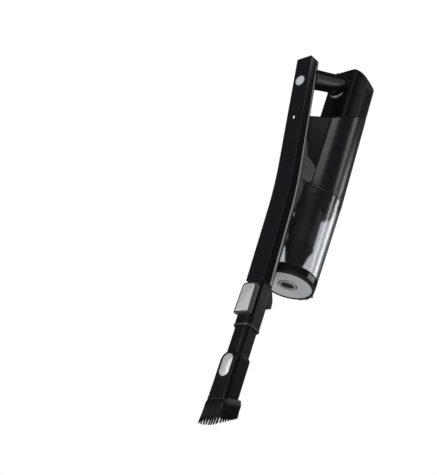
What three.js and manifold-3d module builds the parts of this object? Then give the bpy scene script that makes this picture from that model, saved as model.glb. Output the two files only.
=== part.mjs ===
// Handheld vacuum cleaner: a flat bent spine with the power button, a round grip, a battery head,
// a motor body and a clear dust cup on one axis, and a combination brush tool below the spine.
// Millimetres, +Z up. The tool points down, the spine faces -Y, and the origin is at the centre of
// the flat contact plate on the back, where the cleaner hangs on its wall dock.
import * as THREE from 'three';
import { mergeVertices } from 'three/addons/utils/BufferGeometryUtils.js';
import Module from 'manifold-3d';

const wasm = await Module();
wasm.setup();

// ---------------------------------------------------------------- driving dimensions
const GAP = 0.35; // clearance between neighbouring pieces
const WALL = 2.4; // usual moulding wall
const CUP_FOOT_R = 43.6; // lid radius, at the foot of the cup
const BODY_R = 49.5; // motor housing radius, and the cup's radius where they meet
const JOINT_Z = 166.5; // height of the seam between cup and motor housing, above the lid
const GRIP_SLOPE = THREE.MathUtils.degToRad(35); // the grip and the housing's roof rise to the back
const ROOF_Z = 344; // height of the roof on the body's axis
const HEAD_TOP_Z = 455;
const HEAD_HALF_W = 35.5;
const HEAD_FRONT_Y = -19.5;
const HEAD_BACK_Y = 47.5;
const HEAD_SPLIT_Y = 8;
const GRIP_R = 17.7;
const GRIP_END = { y: HEAD_FRONT_Y, z: 418 }; // where the grip's axis meets the head
const SPINE_FOOT_Z = -35.4;
const SPINE_TOP_Z = 387.5;
const SPINE_FOOT_FRONT_Y = -75;
const SPINE_LOW_LEAN = THREE.MathUtils.degToRad(2.1);
const SPINE_TOP_LEAN = THREE.MathUtils.degToRad(10.5);
const BEND_Z = 142;
const BEND_HALF = 45;
const SPINE_FOOT_HALF_W = 17;
const SPINE_TOP_HALF_W = 15.4;
const COVER_DEPTH = 18.4; // front cover, from the front face to the trim strip
const TRIM_DEPTH = 1.8;
const SPINE_TOP_DEPTH = 24;
const TOOL_Y = -58.4; // axis of the collar and the tool
const COLLAR_HALF = 15.8;
const COLLAR_BOTTOM_Z = -113;
const NECK_HALF = 14;
const NECK_R = 7.5;
const TOOL_BODY_TOP_Z = -157;
const DOCK = { y: 52, z: 240, halfW: 14, halfH: 26 }; // contact plate on the back

const ROUND = 40; // segments of the large circles
const SMALL_ROUND = 20; // segments of the small circles

// ---------------------------------------------------------------- helpers
function toSolid(geometry) {
  const bare = geometry.clone();
  bare.deleteAttribute('normal');
  bare.deleteAttribute('uv');
  const merged = mergeVertices(bare, 1e-4);
  const vertProperties = Float32Array.from(merged.attributes.position.array);
  const triVerts = Uint32Array.from(merged.index.array);
  const solid = new wasm.Manifold(new wasm.Mesh({ numProp: 3, vertProperties, triVerts }));
  if (solid.volume() > 0) return solid;
  for (let i = 0; i < triVerts.length; i += 3) {
    [triVerts[i], triVerts[i + 1]] = [triVerts[i + 1], triVerts[i]];
  }
  return new wasm.Manifold(new wasm.Mesh({ numProp: 3, vertProperties, triVerts }));
}

function toGeometry(solid) {
  const mesh = solid.getMesh();
  const geometry = new THREE.BufferGeometry();
  geometry.setAttribute('position', new THREE.BufferAttribute(new Float32Array(mesh.vertProperties), 3));
  geometry.setIndex(new THREE.BufferAttribute(new Uint32Array(mesh.triVerts), 1));
  return geometry;
}

function union(...solids) {
  return solids.reduce((sum, next) => sum.add(next));
}

function cut(solid, ...tools) {
  return tools.reduce((rest, tool) => rest.subtract(tool), solid);
}

const AXES = {
  x: [new THREE.Vector3(0, 1, 0), new THREE.Vector3(0, 0, 1), new THREE.Vector3(1, 0, 0)],
  y: [new THREE.Vector3(1, 0, 0), new THREE.Vector3(0, 0, 1), new THREE.Vector3(0, -1, 0)],
  z: [new THREE.Vector3(1, 0, 0), new THREE.Vector3(0, 1, 0), new THREE.Vector3(0, 0, 1)],
};

// A prism: an outline in the plane across the given axis, between two places along that axis.
function prism(axis, outline, from, to, segments = 6) {
  const geometry = new THREE.ExtrudeGeometry(outline, {
    depth: to - from,
    bevelEnabled: false,
    curveSegments: segments,
  });
  const start = axis === 'y' ? -to : from;
  geometry.translate(0, 0, start);
  geometry.applyMatrix4(new THREE.Matrix4().makeBasis(...AXES[axis]));
  return toSolid(geometry);
}

function box(x, y, z) {
  const geometry = new THREE.BoxGeometry(x[1] - x[0], y[1] - y[0], z[1] - z[0]);
  geometry.translate((x[0] + x[1]) / 2, (y[0] + y[1]) / 2, (z[0] + z[1]) / 2);
  return toSolid(geometry);
}

// A turned body about a vertical axis, from [radius, height] points.
function turned(points, segments = ROUND, y = 0) {
  const profile = points.map(([r, z]) => new THREE.Vector2(r, z));
  const geometry = new THREE.LatheGeometry(profile, segments);
  geometry.rotateX(Math.PI / 2);
  geometry.translate(0, y, 0);
  return toSolid(geometry);
}

function disc(r, z0, z1, segments = ROUND, y = 0) {
  return turned([[0, z0], [r, z0], [r, z1], [0, z1]], segments, y);
}

function ring(rIn, rOut, z0, z1, segments = ROUND) {
  return turned([[rIn, z0], [rOut, z0], [rOut, z1], [rIn, z1], [rIn, z0]], segments);
}

function polygon(points) {
  return new THREE.Shape(points.map(([u, v]) => new THREE.Vector2(u, v)));
}

function roundedRect(u0, u1, v0, v1, r) {
  const shape = new THREE.Shape();
  shape.moveTo(u0 + r, v0);
  shape.lineTo(u1 - r, v0);
  shape.absarc(u1 - r, v0 + r, r, -Math.PI / 2, 0);
  shape.lineTo(u1, v1 - r);
  shape.absarc(u1 - r, v1 - r, r, 0, Math.PI / 2);
  shape.lineTo(u0 + r, v1);
  shape.absarc(u0 + r, v1 - r, r, Math.PI / 2, Math.PI);
  shape.lineTo(u0, v0 + r);
  shape.absarc(u0 + r, v0 + r, r, Math.PI, 1.5 * Math.PI);
  return shape;
}

function moved(solid, x, y, z) {
  return solid.translate([x, y, z]);
}

const root = new THREE.Group();
root.position.set(0, -DOCK.y, -DOCK.z);

function finish(colour, roughness, metalness = 0) {
  return { color: colour, roughness, metalness };
}

const GLOSS_BLACK = finish(0x0b0c0e, 0.25);
const SATIN_BLACK = finish(0x17181a, 0.5);
const SATIN_DARK = finish(0x2b2d31, 0.38, 0.3);
const SATIN_GREY = finish(0x8a8d90, 0.4, 0.4);
const SILVER = finish(0xd2d3d2, 0.3, 0.5);
const LIGHT_GREY = finish(0xd8d9da, 0.45);
const CLEAR_SMOKE = finish(0x8f949a, 0.08);
const RUBBER = finish(0x101112, 0.8);
const STEEL = finish(0xb8b8b6, 0.3, 1);
const BOARD_GREEN = finish(0x1f5a3a, 0.6);
const FILTER_WHITE = finish(0xe8e6df, 0.9);

function add(name, solid, look) {
  const mesh = new THREE.Mesh(toGeometry(solid), new THREE.MeshStandardMaterial(look));
  mesh.name = name;
  root.add(mesh);
}

// ---------------------------------------------------------------- shared surfaces
// Front face of the spine: two straight leaning stretches joined by a parabola.
function spineFrontY(z) {
  const slopeChange = Math.tan(SPINE_TOP_LEAN) - Math.tan(SPINE_LOW_LEAN);
  const d = z - BEND_Z;
  let bend = 0;
  if (d > BEND_HALF) bend = d;
  else if (d > -BEND_HALF) bend = (d + BEND_HALF) ** 2 / (4 * BEND_HALF);
  return SPINE_FOOT_FRONT_Y - Math.tan(SPINE_LOW_LEAN) * (z - SPINE_FOOT_Z) - slopeChange * bend;
}

function roofZ(y) {
  return ROOF_Z + Math.tan(GRIP_SLOPE) * y;
}

function cupR(z) {
  return 44.6 + (BODY_R - 44.6) * Math.min(1, Math.max(0, z / JOINT_Z));
}

// Heights at which the spine's outline has a point, from foot to top.
function spineLevels(from, to) {
  const bendSteps = 8;
  const levels = [from];
  for (let i = 0; i <= bendSteps; i += 1) {
    const z = BEND_Z - BEND_HALF + (2 * BEND_HALF * i) / bendSteps;
    if (z > from + 1 && z < to - 1) levels.push(z);
  }
  levels.push(to);
  return levels;
}

// Side outline (Y, Z) of a layer of the spine, between two depths behind its front face.
// The top end is square to the leaning face, so it climbs towards the back.
function spineLayer(nearDepth, farDepth, from, to) {
  const top = (depth) => to + (to > SPINE_TOP_Z - 5 ? depth * Math.tan(SPINE_TOP_LEAN) : 0);
  const front = spineLevels(from, top(nearDepth)).map((z) => [spineFrontY(z) + nearDepth, z]);
  const back = spineLevels(from, top(farDepth)).map((z) => [spineFrontY(z) + farDepth, z]);
  return polygon([...front, ...back.reverse()]);
}

// The spine narrows from foot to top; inset makes the same taper for its insides.
function spineTaper(inset) {
  const low = SPINE_FOOT_Z - 20;
  const high = SPINE_TOP_Z + 20;
  const a = SPINE_FOOT_HALF_W - inset;
  const b = SPINE_TOP_HALF_W - inset;
  return prism('y', polygon([[-a, low], [a, low], [b, high], [-b, high]]), -150, 10);
}

function spinePiece(nearDepth, farDepth, from, to, inset) {
  return prism('x', spineLayer(nearDepth, farDepth, from, to), -20, 20).intersect(spineTaper(inset));
}

const BODY_AXIS_CLEAR = turned(
  [[0, SPINE_FOOT_Z - 5], [CUP_FOOT_R + 0.7, SPINE_FOOT_Z - 5], [CUP_FOOT_R + 0.7, -1],
    [cupR(0) + 1, 0.5], [cupR(JOINT_Z) + 1, JOINT_Z + 1], [cupR(JOINT_Z) + GAP, JOINT_Z + 2],
    [cupR(JOINT_Z) + GAP, 300], [0, 300]], 48);

// A piece set into the leaning upper front face: local X is across, local Y is up along the face
// and local Z points out of it.
function onUpperFace(solid, z) {
  const tilt = 90 + THREE.MathUtils.radToDeg(SPINE_TOP_LEAN);
  return moved(solid.rotate([tilt, 0, 0]), 0, spineFrontY(z), z);
}

const POWER_Z = 340;
const POWER_R = 10.5;
const LIGHT_Z = 268;

// ---------------------------------------------------------------- spine
function spineFrontCover() {
  const outer = spinePiece(0, COVER_DEPTH, SPINE_FOOT_Z, SPINE_TOP_Z, 0);
  const inner = spinePiece(WALL, COVER_DEPTH + 5, SPINE_FOOT_Z + 3, SPINE_TOP_Z - 6, WALL);
  const buttonHole = onUpperFace(disc(POWER_R + 2.2, -8, 4, SMALL_ROUND), POWER_Z);
  const lightHole = onUpperFace(disc(3.2, -8, 4, 12), LIGHT_Z);
  const ductHole = box([-12.5, 12.5], [-73, -40], [SPINE_FOOT_Z - 5, SPINE_FOOT_Z + 6]);
  add('spine_front_cover', cut(outer, inner, buttonHole, lightHole, ductHole), GLOSS_BLACK);
}

function sideTrim(side) {
  const near = COVER_DEPTH + GAP;
  const strip = spinePiece(near, near + TRIM_DEPTH, SPINE_FOOT_Z + 2, SPINE_TOP_Z - 4, 0.4);
  const x = side > 0 ? [10, 20] : [-20, -10];
  const inner = spinePiece(near - 2, near + TRIM_DEPTH + 2, SPINE_FOOT_Z, SPINE_TOP_Z, 3.2);
  const name = side > 0 ? 'side_trim_right' : 'side_trim_left';
  add(name, cut(strip.intersect(box(x, [-140, 0], [-60, 420])), inner), SATIN_GREY);
}

const BACK_NEAR = COVER_DEPTH + TRIM_DEPTH + 2 * GAP;
const UPPER_SPLIT_Z = 246; // the upper back shell starts here, above the saddle

function gripAxisZ(y) {
  return GRIP_END.z + Math.tan(GRIP_SLOPE) * (y - GRIP_END.y);
}

// A round bar along the grip's axis, between two distances in front of the head's front face.
function alongGrip(r, from, to, segments = 28) {
  const bar = turned([[0, from], [r, from], [r, to], [0, to]], segments);
  const tilt = 90 + THREE.MathUtils.radToDeg(GRIP_SLOPE);
  return moved(bar.rotate([tilt, 0, 0]), 0, GRIP_END.y, GRIP_END.z);
}

function spineUpperBack() {
  const shell = spinePiece(BACK_NEAR, SPINE_TOP_DEPTH, UPPER_SPLIT_Z, SPINE_TOP_Z - 1, 0.8);
  add('spine_upper_back', cut(shell, alongGrip(9, 60, 140)), SATIN_BLACK);
}

// Grey saddle behind the lower spine: it holds the cup and flares round the foot of the housing.
function spineSaddle() {
  const low = spinePiece(BACK_NEAR, 46, SPINE_FOOT_Z, UPPER_SPLIT_Z - GAP, 0.3);
  const rampTop = UPPER_SPLIT_Z - 6;
  const keep = prism('x', polygon([
    [-120, SPINE_FOOT_Z], [-37, SPINE_FOOT_Z], [-37, JOINT_Z + 10],
    [-50.5, JOINT_Z + 40], [spineFrontY(rampTop) + BACK_NEAR + 1.5, rampTop],
    [spineFrontY(rampTop) + BACK_NEAR + 1.5, UPPER_SPLIT_Z], [-120, UPPER_SPLIT_Z],
  ]), -20, 20);
  const channel = prism('x', polygon([
    [spineFrontY(0) + BACK_NEAR - 2, SPINE_FOOT_Z - 5], [-47.6, SPINE_FOOT_Z - 5],
    [-47.6, 70], [-30, 70], [-30, 104], [spineFrontY(104) + BACK_NEAR - 2, 104],
  ]), -12.9, 12.9);
  add('spine_saddle', cut(low.intersect(keep), BODY_AXIS_CLEAR, channel), SATIN_GREY);
}

// The air duct rises inside the spine from the collar and turns back into the cup's inlet.
function suctionDuct() {
  const bottom = SPINE_FOOT_Z + 0.5;
  const side = (grow) => polygon([
    [-70.6 - grow, bottom - (grow ? 0 : 5)], [-49.4 + grow, bottom - (grow ? 0 : 5)],
    [-49.4 + grow, 72.5 - grow], [-40, 72.5 - grow], [-40, 101.5 + grow],
    [-64, 101.5 + grow], [-72.6 - grow, 90 + grow],
  ]);
  const outer = prism('x', side(1.5), -12, 12);
  const hollow = prism('x', side(0), -10.5, 10.5);
  add('suction_duct', cut(outer, hollow, BODY_AXIS_CLEAR), SATIN_BLACK);
}

function powerControls() {
  const bezel = ring(POWER_R + 0.4, POWER_R + 2, -2.2, 0.35, SMALL_ROUND);
  add('power_button_bezel', onUpperFace(bezel, POWER_Z), SATIN_BLACK);
  const cap = turned([[0, -4.2], [POWER_R - 1.2, -4.2], [POWER_R - 1.2, -3.4], [POWER_R, -3.4],
    [POWER_R, 0.5], [POWER_R - 1, 1.3], [0, 1.5]], SMALL_ROUND);
  add('power_button', onUpperFace(cap, POWER_Z), LIGHT_GREY);
  const switchBody = box([-3.2, 3.2], [-3.2, 3.2], [-9.6, -6.2]);
  add('power_switch', onUpperFace(switchBody, POWER_Z), SATIN_BLACK);
  const boardLength = POWER_Z - LIGHT_Z + 12;
  const board = box([-9, 9], [-boardLength + 6, 8], [-11.6, -10]);
  add('control_board', onUpperFace(board, POWER_Z), BOARD_GREEN);
  const lens = box([-2.2, 2.2], [-4, 4], [-2, 0.3]);
  const stem = disc(1.6, -8, -1.5, 12);
  const lensHole = disc(3, -8, 4, 12);
  add('status_light', onUpperFace(union(lens.intersect(lensHole), stem), LIGHT_Z), LIGHT_GREY);
}

// ---------------------------------------------------------------- grip
// Two half shells round the grip's axis, and a collar ring where they meet the head.
function gripShells() {
  const length = 81;
  const outer = alongGrip(GRIP_R, 0.2, length + 30);
  const hollow = alongGrip(GRIP_R - 2.6, -5, length + 40);
  const spineBehind = spinePiece(-30, SPINE_TOP_DEPTH + GAP, 200, SPINE_TOP_Z + 40, -30);
  const headFront = box([-40, 40], [HEAD_FRONT_Y - GAP, 60], [300, 500]);
  const tube = cut(outer, hollow, spineBehind, headFront);
  const tiltDeg = THREE.MathUtils.radToDeg(GRIP_SLOPE);
  const half = (sign) => {
    const slab = box([-30, 30], [-140, 20], sign > 0 ? [GAP / 2, 60] : [-60, -GAP / 2]);
    return moved(slab.rotate([tiltDeg, 0, 0]), 0, GRIP_END.y, GRIP_END.z);
  };
  add('grip_upper_shell', tube.intersect(half(1)), SATIN_BLACK);
  add('grip_lower_shell', tube.intersect(half(-1)), SATIN_BLACK);
  const collarTube = cut(alongGrip(GRIP_R + 3.4, -4, 8, 32), alongGrip(GRIP_R + GAP, -20, 20), headFront);
  add('grip_collar', collarTube, SATIN_BLACK);
}

// ---------------------------------------------------------------- head
// Plan of the head: a narrower flat front that flares to full width and closes in a round back.
function headPlan(inset) {
  const w = HEAD_HALF_W - inset;
  const front = HEAD_FRONT_Y + inset;
  const back = HEAD_BACK_Y - inset;
  const shape = new THREE.Shape();
  shape.moveTo(-22 + inset, front);
  shape.lineTo(22 - inset, front);
  shape.quadraticCurveTo(w - 4, front + 1, w - 1, 2);
  shape.quadraticCurveTo(w, 7, w, 16);
  shape.bezierCurveTo(w, back - 8, w - 12, back, w - 24, back);
  shape.lineTo(-w + 24, back);
  shape.bezierCurveTo(-w + 12, back, -w, back - 8, -w, 16);
  shape.quadraticCurveTo(-w, 7, -w + 1, 2);
  shape.quadraticCurveTo(-w + 4, front + 1, -22 + inset, front);
  return shape;
}

// Front view of the head: straight sides that close in a low arch.
function headArch() {
  const side = HEAD_HALF_W + 1;
  const spring = HEAD_TOP_Z - 15;
  const shape = new THREE.Shape();
  shape.moveTo(-side, 280);
  shape.lineTo(side, 280);
  shape.lineTo(side, spring);
  shape.bezierCurveTo(side, HEAD_TOP_Z - 5, side - 12, HEAD_TOP_Z, side - 25, HEAD_TOP_Z);
  shape.lineTo(-side + 25, HEAD_TOP_Z);
  shape.bezierCurveTo(-side + 12, HEAD_TOP_Z, -side, HEAD_TOP_Z - 5, -side, spring);
  return prism('y', shape, -60, 80, 8);
}

// Everything above the slanted roof by a clearance, over the whole head.
function aboveRoof(clearance, top) {
  const y0 = -130;
  const y1 = 80;
  const side = polygon([[y0, roofZ(y0) + clearance], [y1, roofZ(y1) + clearance], [y1, top], [y0, top]]);
  return prism('x', side, -80, 80);
}

function headFrontHousing() {
  const block = prism('z', headPlan(0), 300, HEAD_TOP_Z, 8).intersect(headArch());
  const hollow = prism('z', headPlan(WALL), 280, HEAD_TOP_Z - WALL - 7, 8);
  const frontPart = box([-40, 40], [-30, HEAD_SPLIT_Y], [290, 460]);
  const topEdge = prism('x', polygon([[-25, HEAD_TOP_Z - 6], [-25, HEAD_TOP_Z + 5],
    [HEAD_FRONT_Y + 6, HEAD_TOP_Z + 5], [HEAD_FRONT_Y + 6, HEAD_TOP_Z],
    [HEAD_FRONT_Y, HEAD_TOP_Z - 6]]), -40, 40);
  const releaseHole = prism('y', crescent(0.5), -25, -12, 6);
  const shell = cut(block.intersect(frontPart), hollow, topEdge, alongGrip(12, -10, 20), releaseHole);
  add('head_front_housing', shell.intersect(aboveRoof(GAP * 1.3, 460)), SATIN_BLACK);
}

const CRESCENT = { half: 15, low: 387, high: 391.4, lowEnd: 396, highEnd: 398 };

// Outline of the battery release, a crescent that follows the grip collar's underside.
function crescent(grow) {
  const { half, low, high, lowEnd, highEnd } = CRESCENT;
  const reach = half + grow;
  const shape = new THREE.Shape();
  shape.moveTo(-reach, lowEnd - grow);
  shape.quadraticCurveTo(0, 2 * (low - grow) - lowEnd + grow, reach, lowEnd - grow);
  shape.lineTo(reach, highEnd + grow);
  shape.quadraticCurveTo(0, 2 * (high + grow) - highEnd - grow, -reach, highEnd + grow);
  return shape;
}

function batteryRelease() {
  add('battery_release_button', prism('y', crescent(0), -22.3, -14.5, 6), SILVER);
}

function battery() {
  const block = prism('z', headPlan(0), 300, HEAD_TOP_Z, 8).intersect(headArch());
  const backPart = box([-60, 60], [HEAD_SPLIT_Y + GAP, 60], [290, 460]);
  const hollow = prism('z', headPlan(2), 280, HEAD_TOP_Z - 9, 8)
    .intersect(aboveRoof(3.2, 460))
    .intersect(box([-60, 60], [HEAD_SPLIT_Y + 2.4, 60], [290, 460]));
  const contactHole = box([-8, 8], [0, HEAD_SPLIT_Y + 4], [400, 412]);
  const ribCount = 7;
  const grooves = [];
  for (const side of [-1, 1]) {
    for (let i = 0; i < ribCount; i += 1) {
      const y = HEAD_SPLIT_Y + 5 + i * 2.6;
      const x = side * (HEAD_HALF_W - 0.9);
      const x0 = Math.min(x, x + side * 6);
      grooves.push(box([x0, x0 + 6], [y, y + 1.1], [330, HEAD_TOP_Z - 17]));
    }
  }
  const shell = cut(block.intersect(backPart), hollow, contactHole, ...grooves);
  add('battery_case', shell.intersect(aboveRoof(GAP * 2, 460)), SATIN_BLACK);

  const cellR = 9;
  const cellTop = HEAD_TOP_Z - 11;
  const frontRow = [-19, 0, 19].map((x) => [x, 20.1]);
  const backRow = [-9.5, 9.5].map((x) => [x, 36]);
  const cells = [...frontRow, ...backRow].map(([x, y]) => {
    const floor = roofZ(y + cellR) + 5;
    return moved(disc(cellR, 0, Math.min(65, cellTop - floor), 14), x, y, floor);
  });
  const holder = box([-20, 20], [18, 37], [cellTop - 14, cellTop - 10]);
  add('battery_cells', union(holder, ...cells), STEEL);
  const plug = box([-7, 7], [HEAD_SPLIT_Y + GAP + 0.2, HEAD_SPLIT_Y + 2.6], [401, 411]);
  add('battery_connector', plug, SATIN_BLACK);
}

// ---------------------------------------------------------------- motor body
const NOSE_HALF_W = 15;
const GRILLE_HALF_DEG = 72; // half the angle that the ribbed back strip covers
const GRILLE_FOOT_Z = JOINT_Z + 30;

// Plan of the nose that reaches from the round motor body forward to the spine.
function nosePlan(inset) {
  const half = NOSE_HALF_W - inset;
  const rootX = BODY_R * 0.6 - inset;
  const rootY = -BODY_R * 0.79;
  return polygon([[-half, -110], [half, -110], [rootX, rootY], [-rootX, rootY]]);
}

function sector(rIn, rOut, z0, z1, halfDeg) {
  const half = THREE.MathUtils.degToRad(halfDeg);
  const shape = new THREE.Shape();
  shape.absarc(0, 0, rOut, Math.PI / 2 - half, Math.PI / 2 + half, false);
  shape.absarc(0, 0, rIn, Math.PI / 2 + half, Math.PI / 2 - half, true);
  return prism('z', shape, z0, z1, 18);
}

function belowRoof(drop) {
  const side = polygon([[-130, 100], [80, 100], [80, roofZ(80) - drop], [-130, roofZ(-130) - drop]]);
  return prism('x', side, -80, 80);
}

function motorHousing() {
  const z0 = JOINT_Z + GAP;
  const circle = disc(BODY_R, z0, 420, 56);
  const nose = prism('z', nosePlan(0), z0 + 42, 420);
  const spineBehind = spinePiece(-30, SPINE_TOP_DEPTH + GAP, 100, SPINE_TOP_Z + 40, -40);
  const saddleBehind = prism('x', polygon([
    [-130, 100], [-37 + GAP, 100], [-37 + GAP, JOINT_Z + 10], [-50.5 + GAP, JOINT_Z + 41],
    [spineFrontY(240) + BACK_NEAR + 2.3, 241], [spineFrontY(240) + BACK_NEAR + 2.3, 247], [-130, 247],
  ]), -40, 40);
  const outer = union(circle, cut(nose, spineBehind, saddleBehind)).intersect(belowRoof(0));
  const noseInside = cut(
    prism('z', nosePlan(WALL), z0 + 80, 420),
    moved(spineBehind, 0, WALL, 0),
    moved(saddleBehind, 0, WALL, 0),
  ).intersect(belowRoof(4));
  const cavity = turned([[0, z0 - 1], [BODY_R - 3, z0 - 1], [BODY_R - 3, z0 + 24], [BODY_R - WALL, z0 + 26],
    [BODY_R - WALL, 420], [0, 420]], 44).intersect(belowRoof(4));
  const grilleSeat = sector(BODY_R - WALL - GAP, BODY_R + 3, GRILLE_FOOT_Z - GAP, 420, GRILLE_HALF_DEG + 0.5)
    .intersect(belowRoof(5));
  const dockSeat = box([-DOCK.halfW - GAP, DOCK.halfW + GAP], [40, 60],
    [DOCK.z - DOCK.halfH - GAP, DOCK.z + DOCK.halfH + GAP]);
  const latchSeat = box([-11.6, 11.6], [46.4, 60], [JOINT_Z - 10, JOINT_Z + 16]);
  const gripWire = box([-6, 6], [-12, 4], [320, 400]);
  add('motor_housing', cut(outer, cavity, noseInside, grilleSeat, dockSeat, latchSeat, gripWire), SATIN_DARK);
}

function rearGrille() {
  const strip = sector(BODY_R - WALL, BODY_R, GRILLE_FOOT_Z, 420, GRILLE_HALF_DEG).intersect(belowRoof(5.4));
  const ribs = [];
  const slotCount = 16;
  for (let i = 0; i < slotCount; i += 1) {
    const deg = -60 + (120 * i) / (slotCount - 1);
    if (Math.abs(deg) < 22) continue;
    const slot = box([-1, 1], [BODY_R - 8, BODY_R + 4], [GRILLE_FOOT_Z + 8, 330]);
    ribs.push(slot.rotate([0, 0, deg]));
  }
  const dockSeat = box([-DOCK.halfW - GAP, DOCK.halfW + GAP], [40, 60],
    [DOCK.z - DOCK.halfH - GAP, DOCK.z + DOCK.halfH + GAP]);
  add('rear_vent_grille', cut(strip, dockSeat, ...ribs), SATIN_BLACK);
}

function dockPlate() {
  const { halfW, halfH, y, z } = DOCK;
  const outline = roundedRect(-halfW, halfW, z - halfH, z + halfH, 4);
  const plate = prism('y', outline, BODY_R - 2.1, y, 4);
  const contacts = [-6, 6].map((x) => box([x - 2.2, x + 2.2], [y - 1.5, y + 4], [z + 12, z + 20]));
  add('dock_plate', cut(plate, ...contacts), SATIN_BLACK);
  for (const [side, x] of [['left', -6], ['right', 6]]) {
    const pad = box([x - 1.9, x + 1.9], [y - 1.15, y - 0.4], [z + 12.4, z + 19.6]);
    add(`dock_contact_${side}`, pad, STEEL);
  }
}

const MOTOR = { r: 24, wall: 1.6, z0: 234, z1: 288 };

function motorUnit() {
  const { r, wall, z0, z1 } = MOTOR;
  const inside = r - wall;
  const can = turned([[6, z0], [r, z0], [r, z1 - 5], [r - 4, z1], [3.2, z1], [3.2, z1 - wall],
    [r - 5, z1 - wall], [inside, z1 - 6], [inside, z0 + wall], [6, z0 + wall], [6, z0]], 28);
  add('motor_can', can, STEEL);
  const core = { z0: z0 + 14, z1: z0 + 36, r: 13 };
  add('motor_stator', ring(core.r + 0.6, inside - GAP, core.z0, core.z1, 28), STEEL);
  add('motor_rotor', ring(2.9, core.r, core.z0, core.z1, 24), SATIN_BLACK);
  const shaft = turned([[0, z0 - 22], [2.5, z0 - 22], [2.5, z1 + 4], [0, z1 + 4]], 12);
  add('motor_shaft', shaft, STEEL);
  const hub = turned([[2.85, z0 - 18], [8, z0 - 18], [30, z0 - 7], [30, z0 - 5], [2.85, z0 - 5],
    [2.85, z0 - 18]], 28);
  const blades = [];
  const bladeCount = 9;
  for (let i = 0; i < bladeCount; i += 1) {
    const blade = prism('y', polygon([[7, z0 - 17.5], [29, z0 - 17.5], [29, z0 - 7.6], [7, z0 - 16]]), -0.7, 0.7);
    blades.push(blade.rotate([0, 0, (360 * i) / bladeCount]));
  }
  add('impeller', union(hub, ...blades), SATIN_GREY);
  const mount = (a, b) => turned([[r + GAP, a], [BODY_R - WALL - 0.4, a], [BODY_R - WALL - 0.4, b],
    [r + GAP, b], [r + GAP, a]], 32);
  add('front_motor_mount', mount(z0 + 2, z0 + 8), RUBBER);
  const back = mount(z1 - 14, z1 - 8);
  add('back_motor_mount', back, RUBBER);
  const board = disc(24, z1 + 10, z1 + 11.6, 24);
  add('motor_board', board, BOARD_GREEN);
}

function filterUnit() {
  const z0 = JOINT_Z + 3;
  const frame = turned([[34, z0], [BODY_R - 3.4, z0], [BODY_R - 3.4, z0 + 6], [38, z0 + 6],
    [38, z0 + 30], [34, z0 + 30], [34, z0]], 32);
  add('filter_frame', frame, SATIN_BLACK);
  const pleats = new THREE.Shape();
  const pleatCount = 24;
  for (let i = 0; i <= pleatCount * 2; i += 1) {
    const angle = (Math.PI * i) / pleatCount;
    const r = i % 2 ? 28.5 : 33.4;
    if (i === 0) pleats.moveTo(r, 0);
    else if (i < pleatCount * 2) pleats.lineTo(r * Math.cos(angle), r * Math.sin(angle));
  }
  const core = disc(24.5, z0 - 1, z0 + 28, 24);
  add('pleated_filter', cut(prism('z', pleats, z0 + 1, z0 + 28), core), FILTER_WHITE);
  const foam = disc(24, z0 + 2, z0 + 14, 24);
  add('foam_filter', foam, RUBBER);
}

// ---------------------------------------------------------------- dust cup
const BASE_RING_TOP = 16;
const INLET = { z0: 71, z1: 103, halfW: 13 };

function dustCup() {
  const z0 = BASE_RING_TOP + GAP;
  const z1 = JOINT_Z - GAP;
  const wall = 2.1;
  const tube = turned([[cupR(z0) - wall, z0], [cupR(z0), z0], [cupR(z1), z1], [cupR(z1) - wall, z1],
    [cupR(z0) - wall, z0]], 56);
  const inlet = box([-INLET.halfW, INLET.halfW], [-60, -30], [INLET.z0, INLET.z1]);
  add('dust_cup', cut(tube, inlet), CLEAR_SMOKE);
}

function cupSeal() {
  const z = JOINT_Z - 4.2;
  const seal = ring(BODY_R - 6.2, BODY_R - 2.6, z, z + 3.8, 32);
  add('cup_seal', seal, RUBBER);
}

function baseRing() {
  const z0 = 4;
  const z1 = BASE_RING_TOP;
  const body = turned([[40.8, z0], [cupR(z0) - 0.2, z0], [cupR(z1), z1], [40.8, z1], [40.8, z0]], 48);
  const latchSeat = box([41.7, 60], [-9.5, 9.5], [0, 14.5]);
  const knuckleSeat = box([-10, 10], [43.1, 60], [0, 11]);
  const ears = [-13, 13].map((x) => box([x - 3, x + 3], [41.5, 50], [3.9, 9]));
  const pinHole = prism('x', circleShape(HINGE.y, HINGE.z, HINGE.r + 0.35), -30, 30, 3);
  add('cup_base_ring', cut(union(cut(body, latchSeat, knuckleSeat), ...ears), pinHole), SATIN_BLACK);
}

const HINGE = { y: 47, z: 6, r: 1.3 };

function circleShape(u, v, r) {
  const shape = new THREE.Shape();
  shape.absarc(u, v, r, 0, 2 * Math.PI);
  return shape;
}

function cupLid() {
  const plate = disc(CUP_FOOT_R - 2.6, 0, 3.2, 48);
  const knuckle = prism('x', circleShape(HINGE.y, HINGE.z, 2.8), -9.6, 9.6, 5);
  const arm = box([-9.6, 9.6], [38, HINGE.y + 2], [0, 3.6]);
  const pinHole = prism('x', circleShape(HINGE.y, HINGE.z, HINGE.r + 0.35), -30, 30, 3);
  const port = disc(15.4, -4, 8, 32);
  add('cup_lid', cut(union(plate, knuckle, arm), port, pinHole), LIGHT_GREY);
  const rim = turned([[11.2, -0.2], [11.8, -1.7], [13.6, -1.7], [14.2, -0.2], [14.2, 2], [15.1, 2], [15.1, 3.2],
    [11.2, 3.2], [11.2, -0.2]], 32);
  add('lid_port_rim', rim, LIGHT_GREY);
  const recess = turned([[0, 2], [10.8, 2], [10.8, 8], [8.8, 8], [8.8, 3.6], [0, 3.6]], 28);
  add('lid_port_plug', recess, SATIN_BLACK);
  const seal = cut(ring(CUP_FOOT_R - 2.3, CUP_FOOT_R + 0.3, 0.2, 3.4, 48), box([-10, 10], [36, 60], [-1, 5]));
  add('lid_seal', seal, RUBBER);
  const pin = prism('x', circleShape(HINGE.y, HINGE.z, HINGE.r), -16, 16, 3);
  add('lid_hinge_pin', pin, STEEL);
}

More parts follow.
